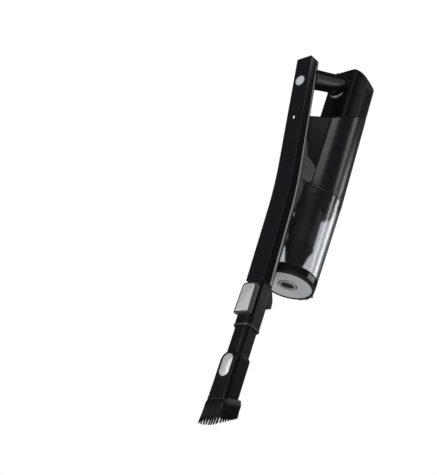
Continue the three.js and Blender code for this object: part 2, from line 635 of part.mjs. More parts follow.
// Side latch of the lid: a grey push plate set into the black ring.
function lidLatch() {
  const plate = box([43.1, 46.4], [-9, 9], [4.6, 14]).intersect(disc(45.2, 0, 20, 48));
  add('lid_latch', plate, SATIN_GREY);
}

function cyclone() {
  const flange = turned([[24, 150], [44, 156], [44, 160], [21.6, 160], [21.6, 70], [24, 70], [24, 150]], 32);
  add('cyclone_shroud', flange, SATIN_BLACK);
  const cone = turned([[19.6, 158], [21.2, 158], [21.2, 66], [11, 22], [9.6, 22], [19.6, 67], [19.6, 158]], 28);
  add('cyclone_cone', cone, SATIN_DARK);
  const finder = turned([[12, 160.4], [40, 160.4], [40, 162], [14, 162], [12, 162], [12, 160.4]], 24);
  const tube = turned([[10.6, 105], [12.4, 105], [12.4, 162], [10.6, 162], [10.6, 105]], 24);
  add('vortex_finder', union(finder, tube), SATIN_BLACK);
}

function inletFlap() {
  const flap = box([-11.5, 11.5], [-41.4, -40.2], [INLET.z0 + 2, INLET.z1 + 1.5]);
  add('inlet_flap', flap, RUBBER);
}

// Catch on the back of the cup: its head sits in the housing's seat and slides down to let go.
function cupRelease() {
  const foot = polygon([[BODY_R + 0.4, JOINT_Z - 8], [51.6, JOINT_Z - 4], [51.6, JOINT_Z + 9],
    [50, JOINT_Z + 14.5], [47.3, JOINT_Z + 14.5], [47.3, JOINT_Z + 1.5], [BODY_R + 0.4, JOINT_Z + 1.5]]);
  add('cup_release_latch', prism('x', foot, -10.4, 10.4), SATIN_BLACK);
}

// ---------------------------------------------------------------- collar and tool
function toolOutline(half, r, grow = 0) {
  return roundedRect(-half - grow, half + grow, TOOL_Y - half - grow, TOOL_Y + half + grow, r + grow);
}

const RELEASE = { z0: -92, z1: -45, halfW: 11.6, front: -83.3, back: -77.4 };

function releaseOutline(grow) {
  const { z0, z1, halfW } = RELEASE;
  const w = halfW + grow;
  const shape = new THREE.Shape();
  shape.moveTo(-w - 1, z0 - grow);
  shape.lineTo(w + 1, z0 - grow);
  shape.lineTo(w, z1 - 7);
  shape.quadraticCurveTo(w, z1 + grow, w - 8, z1 + grow);
  shape.lineTo(-w + 8, z1 + grow);
  shape.quadraticCurveTo(-w, z1 + grow, -w, z1 - 7);
  return shape;
}

function collarAssembly() {
  const top = SPINE_FOOT_Z - GAP;
  const bore = prism('z', toolOutline(NECK_HALF, NECK_R, 0.25), COLLAR_BOTTOM_Z - 2, -58, 5);
  const duct = box([-10.5, 10.5], [TOOL_Y - 11, TOOL_Y + 9], [-60, -20]);
  const tube = prism('z', toolOutline(COLLAR_HALF, 8), COLLAR_BOTTOM_Z, top, 5);
  add('nozzle_collar', cut(tube, bore, duct), SATIN_BLACK);
  const rim = cut(prism('z', toolOutline(COLLAR_HALF, 8, 0.9), COLLAR_BOTTOM_Z + 1, COLLAR_BOTTOM_Z + 4, 5),
    prism('z', toolOutline(COLLAR_HALF, 8, GAP), COLLAR_BOTTOM_Z - 2, top, 5));
  add('collar_rim_band', rim, SATIN_DARK);
  const pad = prism('y', releaseOutline(2.6), -81, TOOL_Y - COLLAR_HALF - GAP, 5);
  const pocket = prism('y', releaseOutline(GAP), -90, -70, 5);
  add('release_surround', cut(pad, pocket), SATIN_GREY);
  add('tool_release_button', prism('y', releaseOutline(0), RELEASE.front, RELEASE.back, 5), SILVER);
  const shroudSide = polygon([[TOOL_Y + COLLAR_HALF + GAP, -62], [-30, -62], [-38, -37], [-39.5, -36.2],
    [TOOL_Y + COLLAR_HALF + GAP, -36.2]]);
  const shroud = prism('x', shroudSide, -10, 10);
  const socket = box([-7.6, 7.6], [-39.8, -34], [-66, -42]);
  add('contact_shroud', cut(shroud, socket), SATIN_BLACK);
}

const BODY = { half: 16.1, front: -72.9, back: -43.2, tip: -236 };
const CARRIAGE_GAP = 0.35;

function combiNozzle() {
  const neck = prism('z', toolOutline(NECK_HALF, NECK_R), TOOL_BODY_TOP_Z, -60, 5);
  const outline = (g) => roundedRect(-BODY.half + g, BODY.half - g, BODY.front + g, BODY.back - g, 6 - g * 0.5);
  const body = prism('z', outline(0), BODY.tip, TOOL_BODY_TOP_Z + 0.01, 5);
  const hollow = union(
    prism('z', toolOutline(NECK_HALF - 2, NECK_R - 1.5), TOOL_BODY_TOP_Z - 3, -50, 5),
    prism('z', outline(2.2), BODY.tip - 5, TOOL_BODY_TOP_Z - 2.5, 5),
  );
  const slant = prism('x', polygon([[-90, -260], [-30, -260], [-30, BODY.tip + 14], [-90, BODY.tip - 8]]), -30, 30);
  add('combi_nozzle', cut(union(neck, body), hollow, slant), SATIN_BLACK);
}

const SKIRT = { half: 19.5, front: -75.4, back: -37.4, top: -214 };
const BUTTON_Z = -178;

function skirtOutline(shrink) {
  return roundedRect(-SKIRT.half + shrink, SKIRT.half - shrink, SKIRT.front + shrink, SKIRT.back - shrink, 5);
}

// Everything below a line that rises from the skirt's front to its back.
function belowSlant(frontZ, backZ) {
  const slope = (backZ - frontZ) / (SKIRT.back - SKIRT.front);
  const at = (y) => frontZ + slope * (y - SKIRT.front);
  return prism('x', polygon([[-100, -320], [0, -320], [0, at(0)], [-100, at(-100)]]), -40, 40);
}

function brushCarriage() {
  const passage = prism('z',
    roundedRect(-BODY.half - CARRIAGE_GAP, BODY.half + CARRIAGE_GAP, BODY.front - CARRIAGE_GAP,
      BODY.back + CARRIAGE_GAP, 6.3), -260, -160, 5);
  const skirt = prism('z', skirtOutline(0), -242, -200, 5).intersect(belowSlant(-231, -219));
  const shoulder = prism('z', skirtOutline(1.8), -240, -200, 5).intersect(belowSlant(-228, -216));
  const tongue = prism('y', roundedTongue(15.2, -155, -236), SKIRT.front, BODY.front - CARRIAGE_GAP, 8);
  const pocket = prism('y', roundedRect(-10, 10, BUTTON_Z - 18.4, BUTTON_Z + 18.4, 9.9), -90, -70, 6);
  const bottom = belowSlant(-242, -230);
  const body = cut(union(skirt, shoulder, tongue), passage, bottom, pocket);
  add('brush_carriage', body, SATIN_BLACK);
  const button = prism('y', roundedRect(-9.5, 9.5, BUTTON_Z - 18, BUTTON_Z + 18, 9.4), -77.6, -74.5, 6);
  add('brush_slide_button', button, SILVER);
}

function roundedTongue(half, top, bottom) {
  const shape = new THREE.Shape();
  shape.moveTo(-half, bottom);
  shape.lineTo(half, bottom);
  shape.lineTo(half, top - half);
  shape.absarc(0, top - half, half, 0, Math.PI);
  shape.lineTo(-half, bottom);
  return shape;
}

function bristles() {
  const outer = prism('z', skirtOutline(0.6), -275, -225, 5);
  const inner = prism('z', roundedRect(-BODY.half - 0.6, BODY.half + 0.6, BODY.front - 0.4, BODY.back + 0.6, 6), -280, -200, 5);
  const top = belowSlant(-242 - GAP, -230 - GAP);
  const tips = belowSlant(-270, -243);
  add('brush_bristles', cut(outer.intersect(top), inner, tips), RUBBER);
}

// ---------------------------------------------------------------- assembly
spineFrontCover();
sideTrim(1);
sideTrim(-1);
spineUpperBack();
spineSaddle();
suctionDuct();
powerControls();
gripShells();
headFrontHousing();
batteryRelease();
battery();
motorHousing();
rearGrille();
dockPlate();
motorUnit();
filterUnit();
dustCup();
cupSeal();
baseRing();
cupLid();
lidLatch();
cyclone();
inletFlap();
cupRelease();
collarAssembly();
combiNozzle();
brushCarriage();
bristles();

export default root;
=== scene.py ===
import math
import random

import bmesh
import bpy
from mathutils import Matrix, Vector

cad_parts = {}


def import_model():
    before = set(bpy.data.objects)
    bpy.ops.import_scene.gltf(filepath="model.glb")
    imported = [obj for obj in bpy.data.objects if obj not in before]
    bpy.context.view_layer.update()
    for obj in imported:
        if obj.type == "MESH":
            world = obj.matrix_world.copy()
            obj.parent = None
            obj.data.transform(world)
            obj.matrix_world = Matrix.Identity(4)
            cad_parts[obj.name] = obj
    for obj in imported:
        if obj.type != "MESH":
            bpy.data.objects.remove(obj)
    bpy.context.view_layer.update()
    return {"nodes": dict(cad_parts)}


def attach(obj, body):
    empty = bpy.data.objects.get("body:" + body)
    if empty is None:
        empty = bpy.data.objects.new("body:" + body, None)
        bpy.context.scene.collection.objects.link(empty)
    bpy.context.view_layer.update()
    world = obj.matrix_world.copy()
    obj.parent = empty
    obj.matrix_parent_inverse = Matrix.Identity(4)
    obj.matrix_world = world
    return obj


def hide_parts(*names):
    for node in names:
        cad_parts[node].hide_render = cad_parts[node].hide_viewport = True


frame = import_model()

MM = 0.001

# ---- driving dimensions, millimetres
# The script's own millimetres have their origin on the cup's axis at the lid; the row frame's
# origin is the centre of the dock plate. The front faces -Y and the right side faces +X.
DOCK_Y, DOCK_Z = 52.0, 240.0
BODY_R = 49.5  # the motor housing, and the cup where it meets the housing
CUP_FOOT_R = 44.6
JOINT_Z = 166.5  # seam between cup and housing
RING_FOOT_Z, RING_TOP_Z = 4.0, 16.0  # the black ring at the cup's foot
GRIP_SLOPE = math.radians(35)
ROOF_Z = 344.0  # the housing's sloping roof over the cup's axis
LOW_LEAN, TOP_LEAN = math.radians(2.1), math.radians(10.5)
SPINE_FOOT_Z, SPINE_TOP_Z = -35.4, 387.5
SPINE_FOOT_Y = -75.0
SPINE_HALF, SPINE_TAPER = 17.0, 1.6
COVER_DEPTH = 18.4
BEND_Z, BEND_HALF = 142.0, 45.0
POWER_Z, LAMP_Z = 340.0, 268.0
HEAD_TOP_Z = 455.0
HEAD_FRONT_Y = -19.5
GRIP_AXIS_Z = 418.0  # where the grip's axis meets the head's front
TOOL_Y = -58.4
COLLAR_FOOT_Z = -113.0
GAP = 0.35


def at(x, y, z):
    """The script's own millimetres to the row frame's metres."""
    return Vector((x, y - DOCK_Y, z - DOCK_Z)) * MM


def spine_front_y(z):
    """The spine's front face: a low and a top lean with a soft bend between them."""
    change = math.tan(TOP_LEAN) - math.tan(LOW_LEAN)
    d = z - BEND_Z
    bend = 0.0
    if d > BEND_HALF:
        bend = d
    elif d > -BEND_HALF:
        bend = (d + BEND_HALF) ** 2 / (4 * BEND_HALF)
    return SPINE_FOOT_Y - math.tan(LOW_LEAN) * (z - SPINE_FOOT_Z) - change * bend


def spine_half(z):
    return SPINE_HALF - SPINE_TAPER * (z - SPINE_FOOT_Z) / (SPINE_TOP_Z - SPINE_FOOT_Z)


def roof_z(y):
    return ROOF_Z + math.tan(GRIP_SLOPE) * y


def cup_r(z):
    return CUP_FOOT_R + (BODY_R - CUP_FOOT_R) * min(1.0, max(0.0, z / JOINT_Z))


def smooth(t):
    t = min(1.0, max(0.0, t))
    return t * t * (3 - 2 * t)


def curve(z, stops):
    """Smooth value at z through (z, value) stops in rising z."""
    if z <= stops[0][0]:
        return stops[0][1]
    for (z0, a), (z1, b) in zip(stops, stops[1:]):
        if z <= z1:
            return a + (b - a) * smooth((z - z0) / (z1 - z0))
    return stops[-1][1]


def steps(a, b, n):
    return [a + (b - a) * i / n for i in range(n + 1)]


def front_polar(r, azimuth):
    """Plan point at radius r; the azimuth runs from the front towards the right."""
    return (r * math.sin(azimuth), -r * math.cos(azimuth))


# ---- local frames
def plain(u, v, w):
    return (u, v, w)


def facing_front(u, v, w):
    """u across, v up, w out towards -Y."""
    return (u, -w, v)


def facing_back(u, v, w):
    """u across, v up, w out towards +Y."""
    return (-u, w, v)


def facing_right(u, v, w):
    """u towards the back, v up, w out towards +X."""
    return (w, u, v)


def on_upper_face(z0):
    """u across, v up the leaning face, w out of it, from the face's middle at height z0."""
    y0 = spine_front_y(z0)
    c, s = math.cos(TOP_LEAN), math.sin(TOP_LEAN)
    return lambda u, v, w: (u, y0 - v * s - w * c, z0 + v * c - w * s)


def along_grip(u, v, w):
    """w runs down the grip from the head to the spine."""
    c, s = math.cos(GRIP_SLOPE), math.sin(GRIP_SLOPE)
    return (u, HEAD_FRONT_Y - v * s - w * c, GRIP_AXIS_Z + v * c - w * s)


# ---- mesh tools
SHARP = math.radians(38)
SOFT_SHARP = math.radians(50)
DOME_SHARES = (0.85, 0.68, 0.5, 0.32, 0.15)
SAME_POINT = 1e-7  # metres


def add_object(name, data):
    ob = bpy.data.objects.new(name, data)
    bpy.context.collection.objects.link(ob)
    return ob


def mesh_object(name, points, faces, sharp=SHARP):
    mesh = bpy.data.meshes.new(name)
    mesh.from_pydata([at(*p) for p in points], [], faces)
    bm = bmesh.new()
    bm.from_mesh(mesh)
    bmesh.ops.remove_doubles(bm, verts=bm.verts, dist=SAME_POINT)
    bmesh.ops.dissolve_degenerate(bm, edges=bm.edges, dist=SAME_POINT)
    bmesh.ops.recalc_face_normals(bm, faces=bm.faces)
    bm.to_mesh(mesh)
    bm.free()
    ob = add_object(name, mesh)
    shade(ob, sharp)
    return ob


def shade(ob, sharp=SHARP):
    """Smooth faces, sharp edges above the given angle, and normals weighted by face area."""
    bm = bmesh.new()
    bm.from_mesh(ob.data)
    for face in bm.faces:
        face.smooth = True
    for edge in bm.edges:
        edge.smooth = len(edge.link_faces) == 2 and edge.calc_face_angle(0) < sharp
    bm.to_mesh(ob.data)
    bm.free()
    weighted = ob.modifiers.new("normals", "WEIGHTED_NORMAL")
    weighted.keep_sharp = True
    weighted.weight = 90


def loft(name, rings, caps=True, sharp=SHARP):
    """Skin over closed rings of the same number of points, with the first and last capped."""
    points = [p for ring in rings for p in ring]
    n = len(rings[0])
    faces = []
    for k in range(len(rings) - 1):
        for i in range(n):
            j = (i + 1) % n
            faces.append((k * n + i, k * n + j, (k + 1) * n + j, (k + 1) * n + i))
    if caps:
        faces.append(tuple(range(n)))
        faces.append(tuple(range((len(rings) - 1) * n, len(rings) * n)))
    return mesh_object(name, points, faces, sharp)


def lathe(name, profile, place=plain, segments=96):
    """Closed profile of (radius, height) turned about the local w axis."""
    turns = [2 * math.pi * i / segments for i in range(segments)]
    rings = [[place(r * math.cos(a), r * math.sin(a), h) for a in turns] for r, h in profile]
    return loft(name, rings + rings[:1], caps=False)


def level(outline, z):
    """A flat ring: a plan outline at one height."""
    return [(x, y, z) for x, y in outline]


def quadratic(p0, p1, p2, t):
    return (1 - t) ** 2 * p0 + 2 * t * (1 - t) * p1 + t * t * p2


def edge_steps(r, n):
    """(inset, height) pairs of a quarter round, from the flat face to the wall."""
    if r <= 0:
        return [(0.0, 0.0)]
    return [(r * (1 - math.sin(a)), r * (1 - math.cos(a))) for a in steps(0, math.pi / 2, n)]


def fillet(points, radius, n=3):
    """Rounds the corners of a closed (u, v) polygon; radius is a number or one per corner."""
    out = []
    count = len(points)
    for i, p in enumerate(points):
        r = radius[i] if isinstance(radius, (list, tuple)) else radius
        a, b = Vector(points[i - 1]), Vector(points[(i + 1) % count])
        p = Vector(p)
        da, db = a - p, b - p
        if r <= 0 or da.length < 1e-6 or db.length < 1e-6:
            out.append(tuple(p))
            continue
        reach = min(r / max(math.tan(da.angle(db) / 2), 1e-3), da.length * 0.49, db.length * 0.49)
        start, end = p + da.normalized() * reach, p + db.normalized() * reach
        out += [tuple(quadratic(start, p, end, t)) for t in steps(0, 1, n)]
    return out


def rounded_rect(u0, u1, v0, v1, r, n=6):
    corners = ((u1 - r, v0 + r, -90), (u1 - r, v1 - r, 0), (u0 + r, v1 - r, 90), (u0 + r, v0 + r, 180))
    out = []
    for cu, cv, start in corners:
        for turn in steps(start, start + 90, n):
            a = math.radians(turn)
            out.append((cu + r * math.cos(a), cv + r * math.sin(a)))
    return out


def inset(outline, d):
    """Offsets a closed outline inwards by d (outwards when d is negative)."""
    n = len(outline)
    area = sum(outline[i - 1][0] * outline[i][1] - outline[i][0] * outline[i - 1][1] for i in range(n))
    side = 1 if area > 0 else -1
    out = []
    for i in range(n):
        p = Vector(outline[i])
        a, b = p - Vector(outline[i - 1]), Vector(outline[(i + 1) % n]) - p
        if a.length < 1e-9 or b.length < 1e-9:
            a = b = a if a.length > b.length else b
        na = Vector((-a.y, a.x)).normalized() * side
        nb = Vector((-b.y, b.x)).normalized() * side
        m = na + nb
        m = m.normalized() if m.length > 1e-6 else na
        out.append(tuple(p + m * d / max(0.5, m.dot(na))))
    return out


def slab(name, outline, place, w0, w1, r1=0.0, r0=0.0, dome=0.0, n=4):
    """An outline from w0 to w1 with rounded far (r1) and near (r0) edges and a domed far face."""
    levels = [(d, w0 + rise) for d, rise in edge_steps(r0, n)]
    levels += [(d, w1 - rise) for d, rise in edge_steps(r1, n)[::-1]]
    rings = [[place(u, v, w) for u, v in inset(outline, d)] for d, w in levels]
    if dome > 0:
        top = inset(outline, levels[-1][0])
        cu = sum(p[0] for p in top) / len(top)
        cv = sum(p[1] for p in top) / len(top)
        for s in DOME_SHARES:
            h = w1 + dome * (1 - s * s)
            rings.append([place(cu + (u - cu) * s, cv + (v - cv) * s, h) for u, v in top])
    return loft(name, rings)


def mirrored(half):
    """Closes a half outline (x >= 0, from front to back) with its mirror image."""
    return half + [(-x, y) for x, y in reversed(half)]


def join(name, *obs):
    """One object from several."""
    bm = bmesh.new()
    for ob in obs:
        bm.from_mesh(ob.data)
    mesh = bpy.data.meshes.new(name)
    bm.to_mesh(mesh)
    bm.free()
    for ob in obs:
        bpy.data.objects.remove(ob)
    joined = add_object(name, mesh)
    shade(joined)
    return joined


def carve(ob, *tools):
    """Cuts the tools' shapes out of the object."""
    ob.modifiers.clear()
    for tool in reversed(tools):
        cut = ob.modifiers.new("cut", "BOOLEAN")
        cut.operation = "DIFFERENCE"
        cut.solver = "EXACT"
        cut.object = tool
    graph = bpy.context.evaluated_depsgraph_get()
    mesh = bpy.data.meshes.new_from_object(ob.evaluated_get(graph))
    ob.modifiers.clear()
    ob.data = mesh
    for tool in tools:
        bpy.data.objects.remove(tool)
    shade(ob)
    return ob


def block(u, v, w, place=plain, r=0.0):
    """A cutting tool between (low, high) limits, with corners of radius r."""
    outline = [(u[0], v[0]), (u[1], v[0]), (u[1], v[1]), (u[0], v[1])]
    if r > 0:
        outline = rounded_rect(*u, *v, r, 4)
    return slab("block", outline, place, *w)


def fit(ob, material, body="main_body", replaces=True):
    """Gives a finished piece its looks and its body; it stands for the CAD node of its own name."""
    ob.data.materials.clear()
    ob.data.materials.append(material)
    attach(ob, body)
    if replaces:
        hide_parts(ob.name.split(".")[0])  # the CAD node has the name, so Blender adds .001


# ---- materials
MIX_FACTOR, MIX_A, MIX_B, MIX_COLOUR = 0, 6, 7, 2  # the Mix node's sockets for colours
NOISE_SPAN = (0.3, 0.7)
EDGE_SPAN = (0.53, 0.62)


def node_material(name):
    material = bpy.data.materials.new(name)
    material.use_nodes = True
    tree = material.node_tree
    return material, tree, tree.nodes["Principled BSDF"], tree.nodes.new("ShaderNodeTexCoord")


def settings(node, **values):
    """Sets inputs to values or links them to other nodes' outputs; _ stands for a space."""
    for name, value in values.items():
        socket = node.inputs[name.replace("_", " ")]
        if isinstance(value, bpy.types.NodeSocket):
            node.id_data.links.new(value, socket)
        else:
            socket.default_value = value


def noise(tree, coords, scale, detail=3.0, stretch=None):
    """Noise in the object's own metres, drawn out along an axis where stretch is below 1."""
    source = coords.outputs["Object"]
    if stretch:
        mapping = tree.nodes.new("ShaderNodeMapping")
        settings(mapping, Vector=source, Scale=stretch)
        source = mapping.outputs["Vector"]
    node = tree.nodes.new("ShaderNodeTexNoise")
    settings(node, Vector=source, Scale=scale, Detail=detail)
    return node.outputs["Fac"]


def ranged(tree, value, low, high, span=NOISE_SPAN):
    node = tree.nodes.new("ShaderNodeMapRange")
    settings(node, Value=value, From_Min=span[0], From_Max=span[1], To_Min=low, To_Max=high)
    return node.outputs["Result"]


def mix_colour(tree, factor, a, b):
    """From a, a colour or another node's output, to the colour b."""
    node = tree.nodes.new("ShaderNodeMix")
    node.data_type = "RGBA"
    if isinstance(a, tuple):
        node.inputs[MIX_A].default_value = (*a, 1)
    else:
        tree.links.new(a, node.inputs[MIX_A])
    node.inputs[MIX_B].default_value = (*b, 1)
    tree.links.new(factor, node.inputs[MIX_FACTOR])
    return node.outputs[MIX_COLOUR]


def bump(tree, shader, height, strength, distance):
    node = tree.nodes.new("ShaderNodeBump")
    settings(node, Strength=strength, Distance=distance * MM, Height=height)
    settings(shader, Normal=node.outputs["Normal"])


def moulded(name, colour, rough, grain=1500, depth=0.01, wear_and_highlight=0.2, metallic=0.0, specular=0.5,
            stretch=None):
    """Moulded plastic: fine grain in the bump, cloudy gloss, and edges painted a little lighter, partly as
    wear and partly as a painted highlight along the edges.
    """
    material, tree, shader, coords = node_material(name)
    geometry = tree.nodes.new("ShaderNodeNewGeometry")
    cloud = noise(tree, coords, 22.0, 4.0)
    # edges lightened by pointiness: partly wear, partly a painted highlight along the edges
    worn_and_lit_edges = ranged(tree, geometry.outputs["Pointiness"], 0.0, wear_and_highlight, EDGE_SPAN)
    lighter = tuple(min(1.0, c * 1.25 + 0.03) for c in colour)
    darker = tuple(c * 0.9 for c in colour)
    clouded = mix_colour(tree, cloud, darker, colour)
    settings(shader, Base_Color=mix_colour(tree, worn_and_lit_edges, clouded, lighter),
             Roughness=ranged(tree, cloud, rough * 0.92, rough * 1.1),
             Metallic=metallic, Specular_IOR_Level=specular)
    bump(tree, shader, noise(tree, coords, grain, 2.0, stretch), 0.6, depth)
    return material


def smoky_clear():
    """Clear plastic with a faint smoky tint and a slight wave from moulding."""
    material, tree, shader, coords = node_material("clear_smoke")
    cloud = noise(tree, coords, 30.0, 3.0)
    tint = mix_colour(tree, cloud, (0.66, 0.68, 0.70), (0.74, 0.75, 0.77))
    settings(shader, Base_Color=tint, Roughness=ranged(tree, cloud, 0.09, 0.15),
             Transmission_Weight=0.99, IOR=1.46, Specular_IOR_Level=0.9)
    bump(tree, shader, noise(tree, coords, 9.0, 1.0), 0.25, 0.6)
    return material


def perforated():
    """Black sheet with rows of fine holes, drawn as dark dots."""
    material, tree, shader, coords = node_material("shroud_mesh")
    cells = tree.nodes.new("ShaderNodeTexVoronoi")
    settings(cells, Vector=coords.outputs["Object"], Scale=520.0, Randomness=0.0)
    ramp = tree.nodes.new("ShaderNodeValToRGB")
    hole, sheet = ramp.color_ramp.elements[0], ramp.color_ramp.elements[1]
    hole.position, sheet.position = 0.25, 0.4
    hole.color = (0.001, 0.001, 0.001, 1)
    sheet.color = (0.006, 0.0062, 0.007, 1)
    settings(ramp, Fac=cells.outputs["Distance"])
    rough = ranged(tree, noise(tree, coords, 40.0), 0.3, 0.4)
    settings(shader, Base_Color=ramp.outputs["Color"], Roughness=rough, Specular_IOR_Level=0.15)
    return material


def lamp_lens():
    material, tree, shader, coords = node_material("lamp_lens")
    cloud = noise(tree, coords, 300.0)
    colour = mix_colour(tree, cloud, (0.75, 0.77, 0.78), (0.9, 0.92, 0.92))
    settings(shader, Base_Color=colour, Roughness=ranged(tree, cloud, 0.2, 0.3),
             Emission_Color=colour, Emission_Strength=0.35)
    return material


GLOSS_BLACK = moulded("gloss_black", (0.009, 0.0093, 0.0105), 0.08, grain=900, depth=0.002, wear_and_highlight=0.02,
                      specular=0.22)
SATIN_BLACK = moulded("satin_black", (0.005, 0.0052, 0.006), 0.34, grain=1600, wear_and_highlight=0.10, specular=0.26)
HEAD_BLACK = moulded("head_black", (0.006, 0.0062, 0.007), 0.44, grain=1600, depth=0.015, wear_and_highlight=0.08,
                     specular=0.13)
BATTERY_BLACK = moulded("battery_black", (0.007, 0.0072, 0.008), 0.34, grain=1600, wear_and_highlight=0.15,
                        specular=0.28)
SATIN_DARK = moulded("satin_dark", (0.013, 0.0135, 0.015), 0.25, grain=1800, depth=0.004, wear_and_highlight=0.02,
                     specular=0.32)
SADDLE_GREY = moulded("saddle_grey", (0.095, 0.097, 0.10), 0.48, depth=0.02, wear_and_highlight=0.15, specular=0.3)
SATIN_GREY = moulded("satin_grey", (0.20, 0.205, 0.21), 0.42, depth=0.02, metallic=0.3)
# light grey of the side trims: partly the trim's own colour, partly a painted highlight along the spine's
# side
TRIM_AND_HIGHLIGHT_GREY = moulded("trim_and_highlight_grey", (0.42, 0.425, 0.43), 0.36, metallic=0.35)
# its strong edge lightening is partly wear and partly painted highlights along the edges of the collar's
# rim band and the release surround
TRIM_DARK = moulded("trim_dark", (0.05, 0.052, 0.054), 0.30, wear_and_highlight=0.3, metallic=0.3)
SILVER = moulded("silver_paint", (0.60, 0.605, 0.60), 0.34, grain=2200, depth=0.012, metallic=0.35)
LIGHT_GREY = moulded("light_grey", (0.47, 0.48, 0.49), 0.42, depth=0.02)
DULL_BLACK = moulded("dull_black", (0.007, 0.007, 0.0075), 0.62, grain=1200, depth=0.04, wear_and_highlight=0.05)
RUBBER = moulded("rubber", (0.010, 0.010, 0.0105), 0.75, grain=700, depth=0.06, wear_and_highlight=0.04, specular=0.3)
BRISTLE = moulded("bristle", (0.010, 0.010, 0.011), 0.55, grain=2500, depth=0.02, wear_and_highlight=0.0, specular=0.15,
                  stretch=(1.0, 1.0, 0.05))
STEEL = moulded("steel", (0.55, 0.55, 0.54), 0.3, grain=1200, wear_and_highlight=0.1, metallic=1.0,
                stretch=(1.0, 1.0, 0.02))
CELL_WRAP = moulded("cell_wrap", (0.06, 0.16, 0.28), 0.35, grain=700, wear_and_highlight=0.12)
BOARD = moulded("board", (0.01, 0.09, 0.04), 0.45, grain=500, depth=0.03, wear_and_highlight=0.12)
FILTER = moulded("filter_paper", (0.75, 0.73, 0.67), 0.85, grain=900, depth=0.15, wear_and_highlight=0.0, specular=0.2)
FOAM = moulded("foam", (0.03, 0.03, 0.032), 0.95, grain=420, depth=0.5, wear_and_highlight=0.0, specular=0.1)
CLEAR = smoky_clear()
MESH = perforated()
LENS = lamp_lens()


# ---- spine
TURN_Z = 290.0
SPINE_STEPS = 44
SPINE_DEPTH = 24.2  # of the upper spine, cover and back shell together
NOSE_INSET, NOSE_DEPTH = 1.2, 21.5  # where the housing's nose starts, from the spine's side and face
NOSE_ROOT = math.radians(31)  # where the nose's flank meets the round body
SADDLE_FOOT_Z, SADDLE_TOP_Z = 80.0, 242.0
SADDLE_REACH_Y = -44.0  # how far back the saddle's flank comes at most
SADDLE_STUB = 0.8  # how far back it comes at least
SADDLE_PROUD = 0.7  # how far it stands out from the nose


def trim_and_highlight_width(z):
    """The side trim widens towards the spine's foot, past the trim's own width, so that its light grey
    paints the highlight of the lit side face there.
    """
    return curve(z, [(SPINE_FOOT_Z, 4.6), (120, 3.0), (SPINE_TOP_Z, 1.8)])


def shell_depth(z):
    """Depth behind the spine's face at which the pieces behind the side trim begin."""
    return COVER_DEPTH + GAP * 2 + trim_and_highlight_width(z)


def spine_point(x, depth, z):
    """A point of the spine; above TURN_Z the sections turn square to the leaning face."""
    turn = smooth((z - TURN_Z) / (SPINE_TOP_Z - TURN_Z))
    shifted = z + depth * math.tan(TOP_LEAN) * turn
    return (x, spine_front_y(shifted) + depth, shifted)


def spine_loft(name, section, z0, z1, foot_round, top_round=None):
    """Sweeps section(z) -> [(x, depth)] up the spine, rounding both ends."""
    top_round = foot_round if top_round is None else top_round
    levels = [(z0 + rise, d) for d, rise in edge_steps(foot_round, 6)[:-1]]
    levels += [(z, 0.0) for z in steps(z0 + foot_round, z1 - top_round, SPINE_STEPS)]
    levels += [(z1 - rise, d) for d, rise in edge_steps(top_round, 6)[-2::-1]]
    rings = []
    for z, d in levels:
        outline = section(z)
        shaped = inset(outline, d) if d else outline
        rings.append([spine_point(x, depth, z) for x, depth in shaped])
    return loft(name, rings)


def spine_cover():
    def section(z):
        w = spine_half(z)
        return fillet([(w, COVER_DEPTH), (w, 0), (-w, 0), (-w, COVER_DEPTH)], [0.8, 1.8, 1.8, 0.8], 4)

    fit(spine_loft("spine_front_cover", section, SPINE_FOOT_Z, SPINE_TOP_Z + 0.4, 1.6, 2.2),
        GLOSS_BLACK)


def side_trim(side):
    def section(z):
        outer = side * (spine_half(z) + 0.15)
        inner = outer - side * 4
        near = COVER_DEPTH + GAP
        far = near + trim_and_highlight_width(z)
        return fillet([(inner, near), (outer, near), (outer, far), (inner, far)], [0, 0.9, 0.9, 0], 4)

    name = "side_trim_right" if side > 0 else "side_trim_left"
    fit(spine_loft(name, section, SPINE_FOOT_Z + 2, SPINE_TOP_Z, 0.8), TRIM_AND_HIGHLIGHT_GREY)


def upper_back():
    def section(z):
        w = spine_half(z) - 0.5
        near = shell_depth(z)
        corners = [(w, near), (w, SPINE_DEPTH), (-w, SPINE_DEPTH), (-w, near)]
        return fillet(corners, [0.3, 1.6, 1.6, 0.3], 4)

    fit(spine_loft("spine_upper_back", section, 238, SPINE_TOP_Z + 0.3, 1.4), SATIN_BLACK)


def nose_x(y, z):
    """Half width of the housing's nose at depth y."""
    half_w = spine_half(z) - NOSE_INSET
    front = spine_front_y(z) + NOSE_DEPTH + 1
    root_x, root_y = front_polar(BODY_R, NOSE_ROOT)
    t = min(1.0, max(0.0, (y - front) / (root_y - front)))
    return half_w + (root_x - half_w) * t


def saddle_end(z):
    """Where the saddle's flank ends at this height: (x, y)."""
    w = spine_half(z) + 0.1
    stub = spine_front_y(z) + shell_depth(z) + SADDLE_STUB
    if z > JOINT_Z + 1:
        share = curve(z, [(167.5, 0.84), (174, 0.97), (197, 1.0), (216, 0.22), (232, 0.14), (241, 0.02)])
        y = stub + (SADDLE_REACH_Y - stub) * share
        return (nose_x(y, z) + SADDLE_PROUD, y)
    azimuth = curve(z, [(74, 13.5), (100, 15.5), (140, 17.0), (JOINT_Z, 18.0)])
    x, y = front_polar(cup_r(z) + 0.9, math.radians(azimuth))
    tuck = smooth((150 - z) / 72)
    return (x + (w - 0.6 - x) * tuck, y + (stub - y) * tuck)


